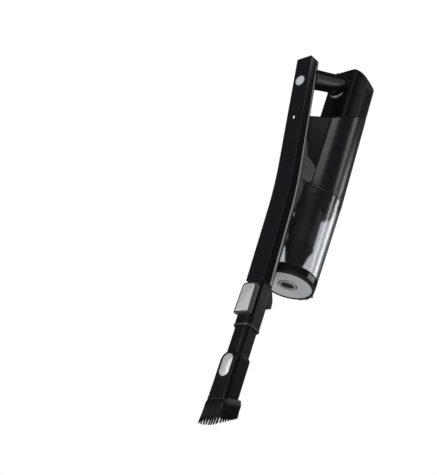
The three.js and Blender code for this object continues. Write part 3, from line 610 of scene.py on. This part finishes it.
def saddle():
    """Grey flanks behind the spine that lie on the cup below the seam and on the nose above it."""
    rings = []
    for z in steps(SADDLE_FOOT_Z, SADDLE_TOP_Z, 90):
        w = spine_half(z) - 0.1
        near = spine_front_y(z) + shell_depth(z)
        start = near + 0.4
        xe, ye = saddle_end(z)
        half = [(w - 3, near), (w - 0.4, near), (w, start)]
        for t in steps(0, 1, 5)[1:]:
            y = start + (ye - start) * t
            x = w + (xe - w) * t
            if z > JOINT_Z + 1:
                x = max(w - 1.6 * t, nose_x(y, z) + SADDLE_PROUD)
            half.append((x, y))
        half += [(xe - 0.9, ye + 0.5), (xe - 2.2, max(near + 0.3, ye - 0.4))]
        rings.append(level(mirrored(half), z))
    fit(loft("spine_saddle", rings, sharp=SOFT_SHARP), SADDLE_GREY)


def cup_rest_and_gap_shade():
    """Black core between the saddle's flanks, from the spine back to the cup; its black is painted shade
    for the shadowed gap between spine and cup.
    """
    half = 12.6

    def section(z):
        near = shell_depth(z) - 0.3
        reach = -cup_r(z) - 0.6 - spine_front_y(z)
        if z < -4:
            reach = min(reach, 36)
        corners = [(half, near), (half, reach), (-half, reach), (-half, near)]
        return fillet(corners, [0.2, 1.2, 1.2, 0.2], 3)

    fit(spine_loft("cup_rest_and_gap_shade", section, SPINE_FOOT_Z + 1, 236, 0.8), DULL_BLACK, replaces=False)


def power_controls():
    face = on_upper_face(POWER_Z)
    raised = [(9.5, -2.0), (12.3, -2.0), (12.5, 0.0), (12.2, 0.32), (11.4, 0.4), (10.2, 0.3), (9.7, 0.1),
              (9.5, -0.3)]
    fit(lathe("power_button_bezel", raised, face, 64), SATIN_BLACK)
    dished = [(0.01, -4.0), (9.2, -4.0), (9.2, 0.5), (8.8, 1.1), (8.1, 1.3), (7.2, 1.2), (6.8, 0.6),
              (6.2, 0.5), (5.7, 0.9), (4.0, 1.2), (0.01, 1.3)]
    fit(lathe("power_button", dished, face, 64), LIGHT_GREY, "power_button_body")
    lamp = slab("status_light", rounded_rect(-1.3, 1.3, -2.6, 2.6, 1.1), on_upper_face(LAMP_Z), -1, 0.35,
                r1=0.3)
    fit(lamp, LENS)


# ---- grip
GRIP_R, GRIP_WAIST = 17.7, 0.5
GRIP_LENGTH, GRIP_SHOWN = 99.0, 84.0


def grip_shell(name, sign):
    """Half of the round grip: a little slimmer in the middle, with a rounded parting edge."""
    count = 24
    rings = []
    for w in steps(0.3, GRIP_LENGTH, 30):
        r = GRIP_R - GRIP_WAIST * math.sin(math.pi * min(1.0, w / GRIP_SHOWN))
        outer, inner = [], []
        for k in range(count + 1):
            a = math.pi * k / count
            ease = 0.35 * max(0.0, 1 - min(k, count - k) / 1.5)
            x, v = (r - ease) * math.cos(a), (r - ease) * math.sin(a) + 0.12
            outer.append(along_grip(x, sign * v, w))
            inner.append(along_grip(x * 0.85, sign * (v * 0.85 + 0.1), w))
        rings.append(outer + inner[::-1])
    fit(loft(name, rings), SATIN_BLACK)


def grip_collar():
    corners = [(18.0, -4), (21.1, -4), (21.1, 6.5), (19.8, 8), (18.0, 8)]
    profile = fillet(corners, [0.2, 0.9, 1.6, 0.8, 0.4], 4)
    fit(lathe("grip_collar", profile, along_grip, 72), HEAD_BLACK)


# ---- head
HEAD_HALF_W = 35.5
HEAD_BACK_Y = 47.5
HEAD_SEAM_Y = 8.0  # between front housing and battery case
HEAD_ROUND = 6.0
RIB_START_Y, RIB_END_Y = 13.0, 30.0
RIB_PITCH, RIB_CUT, RIB_DEPTH = 2.6, 1.1, 1.4
RIB_COUNT = 7


def bezier(*points, n):
    """Points 1 to n of n steps along a curve with the given control points."""
    out = []
    for t in steps(0, 1, n)[1:]:
        left = [Vector(p) for p in points]
        while len(left) > 1:
            left = [a.lerp(b, t) for a, b in zip(left, left[1:])]
        out.append(tuple(left[0]))
    return out


def head_outline():
    """Right half of the head's plan from the front to the back, with fine steps along the ribs."""
    side = HEAD_HALF_W
    half = [(0, HEAD_FRONT_Y), (8, HEAD_FRONT_Y), (15, HEAD_FRONT_Y), (20, -19.4)]
    half += bezier((20, -19.4), (31.0, -18.9), (34.2, 0.0), n=12)
    half += bezier((34.2, 0.0), (35.3, 5.0), (side, HEAD_SEAM_Y), n=4)
    half += [(side, HEAD_SEAM_Y + 0.34), (side, HEAD_SEAM_Y + 0.5)]
    for i in range(RIB_COUNT):
        y = RIB_START_Y + i * RIB_PITCH
        half += [(side, y - 0.15), (side, y), (side, y + RIB_CUT), (side, y + RIB_CUT + 0.15)]
    half += bezier((side, RIB_END_Y), (35.2, 40.5), (23.5, 47.2), (11.5, HEAD_BACK_Y), n=16)
    half += [(6, HEAD_BACK_Y), (0, HEAD_BACK_Y)]
    return half


HEAD_HALF = head_outline()


def in_rib_cut(x, y):
    """Whether a point of the plan is at the bottom of a cut between two ribs."""
    if abs(x) != HEAD_HALF_W or not RIB_START_Y - 0.1 < y < RIB_END_Y:
        return False
    return (y - RIB_START_Y + 0.01) % RIB_PITCH < RIB_CUT + 0.02


def head_ring(d, height, cut, front, clearance):
    """One level of a half of the head: inset by d, at height(bottom, x, y), with rib cuts."""
    full = mirrored(HEAD_HALF)
    shaped = inset(full, d) if d else full
    ring = []
    for (x0, y0), (x, y) in zip(full, shaped):
        if cut and in_rib_cut(x0, y0):
            x -= math.copysign(cut, x)
        y = min(y, HEAD_SEAM_Y) if front else max(y, HEAD_SEAM_Y + GAP)
        ring.append((x, y, height(roof_z(y) + clearance, x0, y)))
    return ring


def top_z(x, y):
    """The head's top: a low arch from side to side that falls a little to the front and the back."""
    flat_half, arch = 9.0, 6.5
    side = min(1.0, max(0.0, (abs(x) - flat_half) / (HEAD_HALF_W - flat_half)))
    fall = arch * (1 - math.sqrt(max(0.0, 1 - side ** 2)))
    return HEAD_TOP_Z + 2.0 - fall - 1.5 * smooth((2.0 - y) / 22) - 6.0 * smooth((y - 14) / 32)


def head_part(name, front, clearance, material, body):
    """The front housing or the battery case: a foot on the roof, ribbed sides, a rounded top."""
    def ring(d, height, cut=0.0):
        return head_ring(d, height, cut, front, clearance)

    middle_y = 12
    low, high = 3.3, HEAD_TOP_Z - 26  # the ribs' ends, above the roof and in height
    rib_depth = 0.0 if front else RIB_DEPTH
    rings = []
    for d, rise in ((0.8, 0.0), (0.2, 0.3), (0.0, 0.9), (0.0, 3.0)):
        rings.append(ring(d, lambda b, x, y, rise=rise: b + rise))
    for t in steps(0, 1, 4):
        rings.append(ring(0.0, lambda b, x, y, t=t: b + low + (high - b - low) * t, rib_depth))
    rings.append(ring(0.0, lambda b, x, y: high + 0.3))
    for d, fall in edge_steps(HEAD_ROUND, 7)[::-1]:
        rings.append(ring(d, lambda b, x, y, fall=fall: top_z(x, y) - fall))
    for d in (9, 13, 17):
        share = 1 - d / HEAD_HALF_W
        rings.append(ring(d, lambda b, x, y, s=share: top_z(x * s, middle_y + (y - middle_y) * s)))
    fit(loft(name, rings), material, body=body)


def battery_release():
    """Silver crescent that follows the underside of the grip's collar."""
    half, low_z, high_z = 12.5, 387, 391.3
    outline = [(half * t, low_z + 6.5 * t * t) for t in steps(-1, 1, 24)]
    outline += [(half * t, high_z + 3.6 * t * t) for t in steps(1, -1, 24)]
    button = slab("battery_release_button", outline, facing_front, 14.5, 21.9, r1=0.6, n=3)
    fit(button, SILVER, "battery_release")


# ---- motor body
ROOT_END = math.radians(36)  # where the soft root of the nose has become round body


def housing_half(z):
    """Right half of the housing's plan at this height: nose flank, soft root, then round."""
    half_w = spine_half(z) - NOSE_INSET
    front = spine_front_y(z) + NOSE_DEPTH
    corner, root = Vector((half_w, front + 1)), Vector(front_polar(BODY_R, NOSE_ROOT))
    end = Vector(front_polar(BODY_R, ROOT_END))
    half = [(0, front), (half_w - 1, front), (half_w, front + 1)]
    half += [tuple(corner.lerp(root, t)) for t in (0.2, 0.4, 0.6, 0.78)]
    half += [tuple(quadratic(corner.lerp(root, 0.92), root, end, t)) for t in steps(0, 1, 6)]
    half += [front_polar(BODY_R, azimuth) for azimuth in steps(ROOT_END, math.pi, 40)[1:]]
    return half


def motor_housing():
    """From the seam up to the sloping roof; the nose follows the spine's lean on the way."""
    z0 = JOINT_Z + GAP
    roof_round = 3.2
    plan_foot, plan_rise = 10, 110

    def plan(z):
        return mirrored(housing_half(z))

    foot = plan(z0)
    rings = [level(inset(foot, d), z0 + rise) for d, rise in ((0.9, 0.0), (0.25, 0.3))]
    rings.append(level(foot, z0 + 0.9))
    for t in steps(0, 1, 24)[1:]:
        outline = plan(z0 + plan_rise * t + plan_foot)
        rings.append([(x, y, z0 + 1 + (roof_z(y) - roof_round - z0 - 1) * t) for x, y in outline])
    top = plan(z0 + plan_rise + plan_foot)
    for d, fall in edge_steps(roof_round, 6)[-2::-1]:
        rings.append([(x, y, roof_z(y) - fall) for x, y in inset(top, d)])
    fit(loft("motor_housing", rings, sharp=SOFT_SHARP), SATIN_DARK)


def rear_grille():
    """Ribbed black strip round the back of the housing; its foot runs out forwards at the seam."""
    reach, pitch, count, plain_half = 72.0, 4.0, 15, 21.0  # degrees from the back
    foot_z, foot_rise, foot_spread = JOINT_Z + 1.2, 31.0, 0.14
    slot_z0, slot_z1, slot_depth = JOINT_Z + 40, 330.0, 2.2
    proud, wall, top_drop = 0.35, 3.0, 5.4
    marks = [(-reach, False)]
    for i in range(-count, count + 1):
        slotted = abs(i * pitch) > plain_half
        for edge, deep in ((-0.95, False), (-0.85, slotted), (0.85, slotted), (0.95, False)):
            marks.append((i * pitch + edge, deep))
    marks.append((reach, False))

    def ring(height, out, cut, spread):
        """One level, out along the marks and back along the inner wall; height depends on y."""
        rows = [], []
        for deg, deep in marks:
            a = math.radians(deg * (spread if abs(deg) == reach else 1))
            outer = BODY_R + out - (slot_depth if deep and cut else 0)
            for row, r in zip(rows, (outer, BODY_R - wall)):
                row.append((r * math.sin(a), r * math.cos(a), height(r * math.cos(a))))
        return rows[0] + rows[1][::-1]

    levels = [(foot_z, False), (foot_z + 0.6, False), (foot_z + 15, False), (foot_z + foot_rise, False),
              (slot_z0, False), (slot_z0 + 0.3, True), (slot_z1 - 0.3, True), (slot_z1, False)]
    rings = []
    for z, cut in levels:
        spread = 1 + foot_spread * (1 - smooth((z - foot_z) / foot_rise))
        rings.append(ring(lambda y, z=z: z, proud if z > foot_z else 0.1, cut, spread))
    rings.append(ring(lambda y: roof_z(y) - top_drop, proud, False, 1))
    fit(loft("rear_vent_grille", rings, sharp=math.radians(30)), SATIN_BLACK)


def dock_plate():
    plate = slab("dock_plate", rounded_rect(-14, 14, DOCK_Z - 26, DOCK_Z + 26, 4), facing_back,
                 DOCK_Y - 4.6, DOCK_Y, r1=0.7)
    pockets = [block((x - 2.2, x + 2.2), (DOCK_Z + 12, DOCK_Z + 20), (DOCK_Y - 1.7, DOCK_Y + 2),
                     facing_back, 1.0) for x in (-6, 6)]
    fit(carve(plate, *pockets), SATIN_BLACK)


# ---- dust cup
CUP_WALL = 2.1
RING_INNER_R = 40.8
PLATE_R, PORT_R = 40.2, 16.2
HINGE_HALF = 9.6


def dust_cup():
    z0, z1 = RING_TOP_Z + GAP, JOINT_Z - GAP
    corners = [(cup_r(z0) - CUP_WALL, z0), (cup_r(z0), z0), (cup_r(z1), z1), (cup_r(z1) - CUP_WALL, z1)]
    shell = lathe("dust_cup", fillet(corners, 0.5, 3), segments=128)
    inlet = block((-13, 13), (71, 103), (30, 60), facing_front, 4.0)
    fit(carve(shell, inlet), CLEAR, "cup")


def base_ring():
    z0, z1 = RING_FOOT_Z, RING_TOP_Z
    corners = [(RING_INNER_R, z0), (cup_r(z0) - 0.1, z0), (cup_r(z1) + 0.25, z1), (RING_INNER_R, z1)]
    ring = lathe("cup_base_ring", fillet(corners, [0.3, 1.2, 0.5, 0.3], 4), segments=128)
    latch_seat = block((-9.4, 9.4), (0, 14.4), (41.7, 60), facing_right)
    hinge_seat = block((-9.9, 9.9), (0, 11), (43.1, 60), facing_back)
    carve(ring, latch_seat, hinge_seat)
    fit(ring, GLOSS_BLACK, body="cup")


def hinge_ears():
    outline = fillet([(42.5, 4.0), (50, 4.0), (50, 9), (43.5, 9)], [0.3, 2.2, 2.2, 0.3], 4)
    for name, x in (("lid_hinge_ear_left", -13), ("lid_hinge_ear_right", 13)):
        ear = slab(name, outline, facing_right, x - 2.9, x + 2.9, r1=0.5, r0=0.5)
        fit(ear, GLOSS_BLACK, body="cup", replaces=False)


def lid():
    """Pale plate with the black arm that carries it on the hinge."""
    corners = [(PORT_R, 0.0), (PLATE_R, 0.0), (PLATE_R, 3.2), (PORT_R, 3.2)]
    plate = lathe("cup_lid", fillet(corners, [0.3, 0.9, 0.3, 0.3], 4), segments=128)
    bent = [(38, 0.1), (47, 0.1), (49.6, 4.6), (49.0, 8.2), (45.4, 8.6), (43.6, 3.4), (38, 3.1)]
    arm = slab("lid_hinge_arm", fillet(bent, [0, 2.4, 1.6, 1.6, 1.2, 0.6, 0], 4), facing_right,
               -HINGE_HALF, HINGE_HALF, r1=0.4, r0=0.4)
    fit(plate, LIGHT_GREY, "lid")
    fit(arm, GLOSS_BLACK, body="lid", replaces=False)


def lid_port():
    """Raised rim round the port; the dark plug in it, wide enough that its black also paints the shade
    round the port; and a black ring in the groove round it, painted shade that makes the groove read dark.
    """
    raised = [(12.0, 3.0), (12.0, -0.9), (12.3, -1.6), (13.0, -1.9), (13.7, -1.6), (14.1, -0.9),
              (14.2, 3.0)]
    fit(lathe("lid_port_rim", raised, segments=96), LIGHT_GREY, "lid")
    sunk = [(0.01, 4.6), (0.01, 3.8), (9.4, 3.8), (10.4, 2.4), (11.8, 2.0), (11.8, 7.6), (8.2, 7.6),
            (8.2, 4.6)]
    fit(lathe("lid_port_plug", sunk, segments=72), DULL_BLACK, body="lid")
    # black ring at the foot of the groove: painted shade
    groove = [(13.8, 1.6), (PORT_R + 0.4, 1.6), (PORT_R + 0.4, 3.0), (13.8, 3.0)]
    fit(lathe("lid_port_groove_shade", groove, segments=96), DULL_BLACK, body="lid", replaces=False)


def lid_seal():
    inner, outer = PLATE_R + 0.2, 44.3
    profile = fillet([(inner, -0.9), (outer, -0.5), (outer, 3.6), (inner, 3.6)], 0.7, 3)
    seal = lathe("lid_seal", profile, segments=128)
    carve(seal, block((-10, 10), (-2, 6), (30, 60), facing_back))
    fit(seal, RUBBER, "lid")


def lid_latch():
    """Curved plate in the ring's right side, with its ends turned in a little."""
    reach, inner_r, inner_x = 12.0, 43.4, 43.25
    z0, z1 = 4.7, 13.9
    rings = []
    for a in steps(-reach, reach, 18):
        turned = max(0.0, (abs(a) / reach - 0.9) / 0.1) ** 2
        r = 45.2 - 0.6 * turned
        azimuth = math.radians(a)
        section = fillet([(inner_r, z0), (r, z0), (r + 0.05, z1), (inner_r, z1)], [0.1, 1.0, 1.0, 0.1], 4)
        rings.append([(max(inner_x, q * math.cos(azimuth)), q * math.sin(azimuth), z) for q, z in section])
    fit(loft("lid_latch", rings), SATIN_GREY, "lid_latch_body")


def cyclone():
    profile = [(21.6, 70), (24, 70), (24.4, 71), (24.4, 74), (23.8, 75), (23.8, 146), (24.4, 147),
               (25, 150), (44, 156), (44, 160), (21.6, 160)]
    fit(lathe("cyclone_shroud", profile, segments=96), MESH, body="cup")


def cup_release():
    half = [(8.3, 158.6), (10.2, 165), (10.2, 178), (8.4, 181)]
    outline = fillet([(-8.3, 158.6)] + half + [(-x, z) for x, z in reversed(half[1:])], 1.6, 4)
    latch = slab("cup_release_latch", outline, facing_back, 49.9, 51.7, r1=0.8)
    fit(latch, SATIN_BLACK, body="cup_release")


# ---- collar and tool
COLLAR_HALF, COLLAR_CORNER = 15.8, 8
NECK_HALF, NECK_CORNER = 14, 7.5
NECK_TOP_Z, NECK_FOOT_Z = -60, -155
SHOULDER = 4.5  # height over which the neck widens to the tool's body
TOOL_FRONT, TOOL_BACK, TOOL_HALF = -72.9, -43.2, 16.1
TIP_Z, TIP_SLOPE = -244, 22 / 60  # the tip's height at y = -90, and its rise towards the back
SKIRT_HALF, SKIRT_FRONT, SKIRT_BACK = 19.5, -75.4, -37.4
BUTTON_Z = -178.0


def square(half, r):
    return rounded_rect(-half, half, TOOL_Y - half, TOOL_Y + half, r)


def collar():
    bottom, top = COLLAR_FOOT_Z, SPINE_FOOT_Z - GAP
    outer = square(COLLAR_HALF, COLLAR_CORNER)
    rings = [level(square(14.2, 7.7), bottom + 6), level(square(14.25, 7.7), bottom + 0.6)]
    rings += [level(inset(outer, 0.7), bottom), level(outer, bottom + 0.6)]
    rings += [level(outer, z) for z in steps(bottom + 4, top - 0.8, 6)]
    rings += [level(inset(outer, 0.7), top), level(inset(outer, 1.2), SPINE_FOOT_Z - 0.05)]
    fit(loft("nozzle_collar", rings), SATIN_BLACK)


def collar_band():
    outer = square(COLLAR_HALF, COLLAR_CORNER)
    profile = ((0.4, 1.0), (-0.7, 1.4), (-1.0, 2.2), (-1.0, 3.2), (-0.7, 3.8), (0.4, 4.0))
    rings = [level(inset(outer, d), COLLAR_FOOT_Z + rise) for d, rise in profile]
    fit(loft("collar_rim_band", rings), TRIM_DARK)


def release_outline(grow=0.0):
    z0, z1, w = -92 - grow, -45 + grow, 11.6 + grow
    return fillet([(-w - 1, z0), (w + 1, z0), (w, z1), (-w, z1)], [1.6, 1.6, 6.5, 6.5], 6)


def release():
    pad = slab("release_surround", release_outline(2.6), facing_front, 73.6, 81.0, r1=1.2)
    pocket = slab("pocket", release_outline(0.35), facing_front, 74.7, 90)
    fit(carve(pad, pocket), TRIM_DARK)
    button = slab("tool_release_button", release_outline(), facing_front, 77.4, 81.8, r1=1.4, dome=2.3)
    fit(button, SILVER, "tool_release")


def contact_shroud():
    y0, z0, z1 = TOOL_Y + 15.5, -62, -36.2
    corners = [(y0, z0), (-30, z0), (-31, -50), (-38, -37), (-39.5, z1), (y0, z1)]
    side = fillet(corners, [0, 1.0, 6, 2, 1, 0], 5)
    shroud = slab("contact_shroud", side, facing_right, -10, 10, r1=1.0, r0=1.0)
    socket = block((-7.6, 7.6), (-39.8, -34), (-66, -42), plain, 1.0)
    fit(carve(shroud, socket), SATIN_BLACK)


def combi_nozzle():
    """Neck, shoulder and flattened body, open at the tip, which is cut on a slant."""
    neck = square(NECK_HALF, NECK_CORNER)
    wide = rounded_rect(-TOOL_HALF, TOOL_HALF, TOOL_FRONT, TOOL_BACK, 6)
    body_z = NECK_FOOT_Z - SHOULDER

    def tip(y, lift=0.0):
        return TIP_Z + (y + 90) * TIP_SLOPE + lift

    rings = [level(square(11.5, 5), NECK_TOP_Z), level(inset(neck, 0.5), NECK_TOP_Z)]
    rings += [level(neck, NECK_TOP_Z - 0.6)]
    rings += [level(neck, z) for z in steps(-75, NECK_FOOT_Z, 5)]
    for t in (0.15, 0.4, 0.7, 0.9, 1.0):
        blended = [tuple(Vector(a).lerp(Vector(b), smooth(t))) for a, b in zip(neck, wide)]
        rings.append(level(blended, NECK_FOOT_Z - SHOULDER * t))
    for t in (0.2, 0.5, 0.8, 1.0):
        rings.append([(x, y, body_z + (tip(y, 0.6) - body_z) * t) for x, y in wide])
    for d, lift in ((0.5, 0.0), (1.8, 0.0), (2.2, 0.8)):
        rings.append([(x, y, tip(y, lift)) for x, y in inset(wide, d)])
    rings.append(level(inset(wide, 2.2), -175))
    fit(loft("combi_nozzle", rings), SATIN_BLACK, body="combi_tool")


def skirt_outline(d=0.0, n=6):
    return rounded_rect(-SKIRT_HALF + d, SKIRT_HALF - d, SKIRT_FRONT + d, SKIRT_BACK - d, 5.5 - 0.3 * d, n)


def skirt_floor(y, front_z=-242.0, back_z=-230.0):
    return front_z + (back_z - front_z) * (y - SKIRT_FRONT) / (SKIRT_BACK - SKIRT_FRONT)


def on_floor(outline, rise=0.0):
    """A ring that follows the skirt's sloping floor."""
    return [(x, y, skirt_floor(y) + rise) for x, y in outline]


def tongue():
    """Plate up the tool's front that guides the oval button."""
    half, top_z = 15.2, -155
    outline = []
    for a in steps(0, math.pi, 16):
        outline.append((half * math.cos(a), top_z - half + half * math.sin(a)))
    outline += [(-half, -205), (-half - 0.3, -226), (-half - 1.0, -231)]
    outline += [(half + 1.0, -231), (half + 0.3, -226), (half, -205)]
    plate = slab("tongue", outline, facing_front, 73.25, 75.5, r1=1.8, n=5)
    opening = rounded_rect(-9.9, 9.9, BUTTON_Z - 18.3, BUTTON_Z + 18.3, 9.8, 10)
    slot = slab("slot", opening, facing_front, 60, 90)
    return carve(plate, slot)


def brush_carriage():
    """Skirt round the tool's tip with its tongue."""
    opening = rounded_rect(-16.5, 16.5, -73.3, -42.8, 6.3)
    shoulder = ((2.9, 13.6), (2.0, 13.2), (1.6, 12.2), (1.2, 10.5), (0.6, 8.0), (0.15, 5.5), (0.0, 3.0),
                (0.0, 1.2), (0.1, 0.3), (0.7, 0.0))
    rings = [on_floor(skirt_outline(d), rise) for d, rise in shoulder]
    rings += [on_floor(opening), on_floor(inset(opening, -0.05), 13.3)]
    skirt = loft("brush_carriage", rings + rings[:1], caps=False)
    fit(join("brush_carriage", skirt, tongue()), SATIN_BLACK, body="brush")


def brush_button():
    outline = rounded_rect(-9.3, 9.3, BUTTON_Z - 17.8, BUTTON_Z + 17.8, 9.2, 10)
    button = slab("brush_slide_button", outline, facing_front, 74.5, 76.6, r1=0.8, dome=1.6)
    fit(button, SILVER, "brush_button")


# ---- bristles
TUFTS = 31
TUFT_REACH = 2.1
TUFT_SLIM = 0.33  # a tuft's width across the rim as a share of its length along it
BRISTLE_RINGS = ((0.0, 0.36), (0.5, 0.34), (1.0, 0.18))  # share of the drop, radius
BRISTLE_SIDES = 4


def tuft_places():
    """Evenly spaced (point, direction along the rim) pairs round the skirt's rim."""
    path = [Vector(p) for p in inset(skirt_outline(0.0, 8), 1.2)]
    sides = list(zip(path, path[1:] + path[:1]))
    spacing = sum((a - b).length for a, b in sides) / TUFTS
    places = []
    travelled, target = 0.0, spacing / 2
    for a, b in sides:
        length = (b - a).length
        while target <= travelled + length and length > 0:
            places.append((a.lerp(b, (target - travelled) / length), (b - a) / length))
            target += spacing
        travelled += length
    return places


def bow(x):
    """The row of tips bows: up to 4 mm shorter at its ends than in the middle."""
    return 4.0 * smooth(abs(x) / SKIRT_HALF - 0.35) - 2.0


def bristle(points, faces, bx, by, top, drop, sx, sy):
    """Adds one tapered bristle that bends by (sx, sy) over its drop."""
    base, n = len(points), BRISTLE_SIDES
    for t, r in BRISTLE_RINGS:
        for k in range(n):
            a = 2 * math.pi * k / n
            x, y = bx + sx * t * t + r * math.cos(a), by + sy * t * t + r * math.sin(a)
            points.append((x, y, top - drop * t))
    for start in (base, base + n):
        for k in range(n):
            j = (k + 1) % n
            faces.append((start + k, start + j, start + n + j, start + n + k))
    faces.append((base, *range(base + n - 1, base, -1)))
    faces.append(tuple(range(base + 2 * n, base + 3 * n)))


def bristles():
    """Tufts of tapered bristles round the skirt's rim, splayed a little outwards."""
    rng = random.Random(7)
    points, faces = [], []
    centre = Vector((0, (SKIRT_FRONT + SKIRT_BACK) / 2))
    per_tuft = 64
    for place, along in tuft_places():
        out = place - centre
        out.x, out.y = out.x / SKIRT_HALF, out.y / (SKIRT_BACK - SKIRT_FRONT) * 2
        lean_x, lean_y = rng.uniform(-0.008, 0.008), rng.uniform(-0.008, 0.008)
        for _ in range(per_tuft):
            reach, spin = TUFT_REACH * math.sqrt(rng.random()), rng.uniform(0, 2 * math.pi)
            run, off = reach * math.cos(spin), TUFT_SLIM * reach * math.sin(spin)
            bx = place.x + along.x * run - along.y * off
            by = place.y + along.y * run + along.x * off
            top = skirt_floor(by) + 1.5
            drop = top - (skirt_floor(by, -269.0, -243.0) + bow(bx) + rng.uniform(0.0, 2.0))
            sx = (0.05 * out.x + lean_x + rng.uniform(-0.012, 0.012)) * drop - 0.32 * (bx - place.x)
            sy = (0.05 * out.y + lean_y + rng.uniform(-0.012, 0.012)) * drop - 0.32 * (by - place.y)
            bristle(points, faces, bx, by, top, drop, sx, sy)
    tufts = mesh_object("brush_bristles", points, faces, math.radians(100))
    fit(tufts, BRISTLE, "brush")


# ---- CAD nodes that keep their shape
CAD_LOOKS = (
    (SATIN_BLACK, ("suction_duct", "power_switch", "motor_rotor", "filter_frame", "battery_connector",
                   "vortex_finder")),
    (STEEL, ("dock_contact_left", "dock_contact_right", "motor_can", "motor_stator", "motor_shaft",
             "lid_hinge_pin")),
    (RUBBER, ("front_motor_mount", "back_motor_mount", "cup_seal", "inlet_flap")),
    (BOARD, ("control_board", "motor_board")),
    (SATIN_GREY, ("impeller",)),
    (SATIN_DARK, ("cyclone_cone",)),
    (FILTER, ("pleated_filter",)),
    (FOAM, ("foam_filter",)),
    (CELL_WRAP, ("battery_cells",)),
)


def cad_looks():
    for material, names in CAD_LOOKS:
        for name in names:
            ob = frame["nodes"][name]
            ob.data.materials.clear()
            ob.data.materials.append(material)


# ---- camera, light, surroundings, metres
AZ, EL, ROLL = math.radians(49.08), math.radians(-28.42), math.radians(19.91)
EYE = Vector((0.7635, -0.8852, -0.8081))
AIM = Vector((0.0, -0.08, -0.05))
FOCAL_LENGTH, SENSOR_WIDTH = 59.65, 36.0
FLOOR_HALF, FLOOR_Z = 14.0, -1.15


def direction(azimuth, elevation):
    """Unit vector away from the object; the azimuth runs from the front towards +X."""
    x, y = front_polar(math.cos(elevation), azimuth)
    return Vector((x, y, math.sin(elevation)))


def camera():
    back = direction(AZ, EL)
    right = (-back).cross(Vector((0, 0, 1))).normalized()
    up = right.cross(-back)
    across = right * math.cos(ROLL) + up * math.sin(ROLL)
    upward = -right * math.sin(ROLL) + up * math.cos(ROLL)
    data = bpy.data.cameras.new("camera")
    data.lens = FOCAL_LENGTH
    data.sensor_width = SENSOR_WIDTH
    data.clip_start = 0.01
    ob = add_object("camera", data)
    placed = Matrix((across, upward, back)).transposed().to_4x4()
    placed.translation = EYE
    ob.matrix_world = placed
    bpy.context.scene.camera = ob


def softbox(name, azimuth, elevation, distance, width, height, power):
    """Area light on a sphere round the object, facing it."""
    outward = direction(math.radians(azimuth), math.radians(elevation))
    data = bpy.data.lights.new(name, "AREA")
    data.shape = "RECTANGLE"
    data.size, data.size_y = width, height
    data.energy = power
    ob = add_object(name, data)
    ob.location = AIM + outward * distance
    ob.rotation_euler = outward.to_track_quat("Z", "Y").to_euler()


def lights():
    softbox("front_right_box", 33, 40.6, 1.7, 0.74, 0.46, 3.8)
    softbox("side_box", 122, 34, 1.7, 0.29, 1.0, 3.3)
    softbox("rim_box", 152, 27, 1.7, 0.50, 0.55, 3.4)
    softbox("under_fill", 60, -62, 1.3, 0.6, 0.6, 1.8)
    softbox("front_fill", -8, -12, 2.0, 0.5, 1.2, 25)


def world():
    """White surroundings for the camera and through the clear cup, and dim ones for the rest."""
    made = bpy.data.worlds.new("studio")
    bpy.context.scene.world = made
    made.use_nodes = True
    tree = made.node_tree
    tree.nodes.clear()
    output = tree.nodes.new("ShaderNodeOutputWorld")
    mix = tree.nodes.new("ShaderNodeMixShader")
    path = tree.nodes.new("ShaderNodeLightPath")
    dim, bright = tree.nodes.new("ShaderNodeBackground"), tree.nodes.new("ShaderNodeBackground")
    settings(dim, Color=(0.8, 0.82, 0.85, 1), Strength=0.05)
    settings(bright, Color=(1, 1, 1, 1), Strength=1.0)
    bounced, through, seen = (tree.nodes.new("ShaderNodeMath") for _ in range(3))
    bounced.operation = "ADD"
    through.operation = "SUBTRACT"
    through.use_clamp = True
    seen.operation = "MAXIMUM"
    wires = ((path.outputs["Glossy Depth"], bounced, 0), (path.outputs["Diffuse Depth"], bounced, 1),
             (path.outputs["Is Transmission Ray"], through, 0), (bounced.outputs[0], through, 1),
             (path.outputs["Is Camera Ray"], seen, 0), (through.outputs[0], seen, 1),
             (seen.outputs[0], mix, 0), (dim.outputs[0], mix, 1), (bright.outputs[0], mix, 2),
             (mix.outputs[0], output, 0))
    for start, node, socket in wires:
        tree.links.new(start, node.inputs[socket])
    bpy.context.scene.view_settings.view_transform = "Standard"


def floor():
    material, tree, shader, coords = node_material("floor_paint")
    cloud = noise(tree, coords, 3.0)
    paint = mix_colour(tree, cloud, (0.80, 0.80, 0.80), (0.84, 0.84, 0.84))
    settings(shader, Base_Color=paint, Roughness=ranged(tree, cloud, 0.55, 0.65),
             Emission_Color=(1, 1, 1, 1), Emission_Strength=0.45)
    mesh = bpy.data.meshes.new("floor")
    corners = ((-1, -1), (1, -1), (1, 1), (-1, 1))
    mesh.from_pydata([(x * FLOOR_HALF, y * FLOOR_HALF, FLOOR_Z) for x, y in corners], [], [(0, 1, 2, 3)])
    mesh.materials.append(material)
    add_object("floor", mesh)


# ---- build
spine_cover()
side_trim(1)
side_trim(-1)
upper_back()
saddle()
cup_rest_and_gap_shade()
power_controls()
grip_shell("grip_upper_shell", 1)
grip_shell("grip_lower_shell", -1)
grip_collar()
head_part("head_front_housing", True, 0.5, HEAD_BLACK, "main_body")
head_part("battery_case", False, 0.75, BATTERY_BLACK, "battery")
battery_release()
motor_housing()
rear_grille()
dock_plate()
dust_cup()
base_ring()
hinge_ears()
lid()
lid_port()
lid_seal()
lid_latch()
cyclone()
cup_release()
collar()
collar_band()
release()
contact_shroud()
combi_nozzle()
brush_carriage()
brush_button()
bristles()
cad_looks()
camera()
lights()
world()
floor()
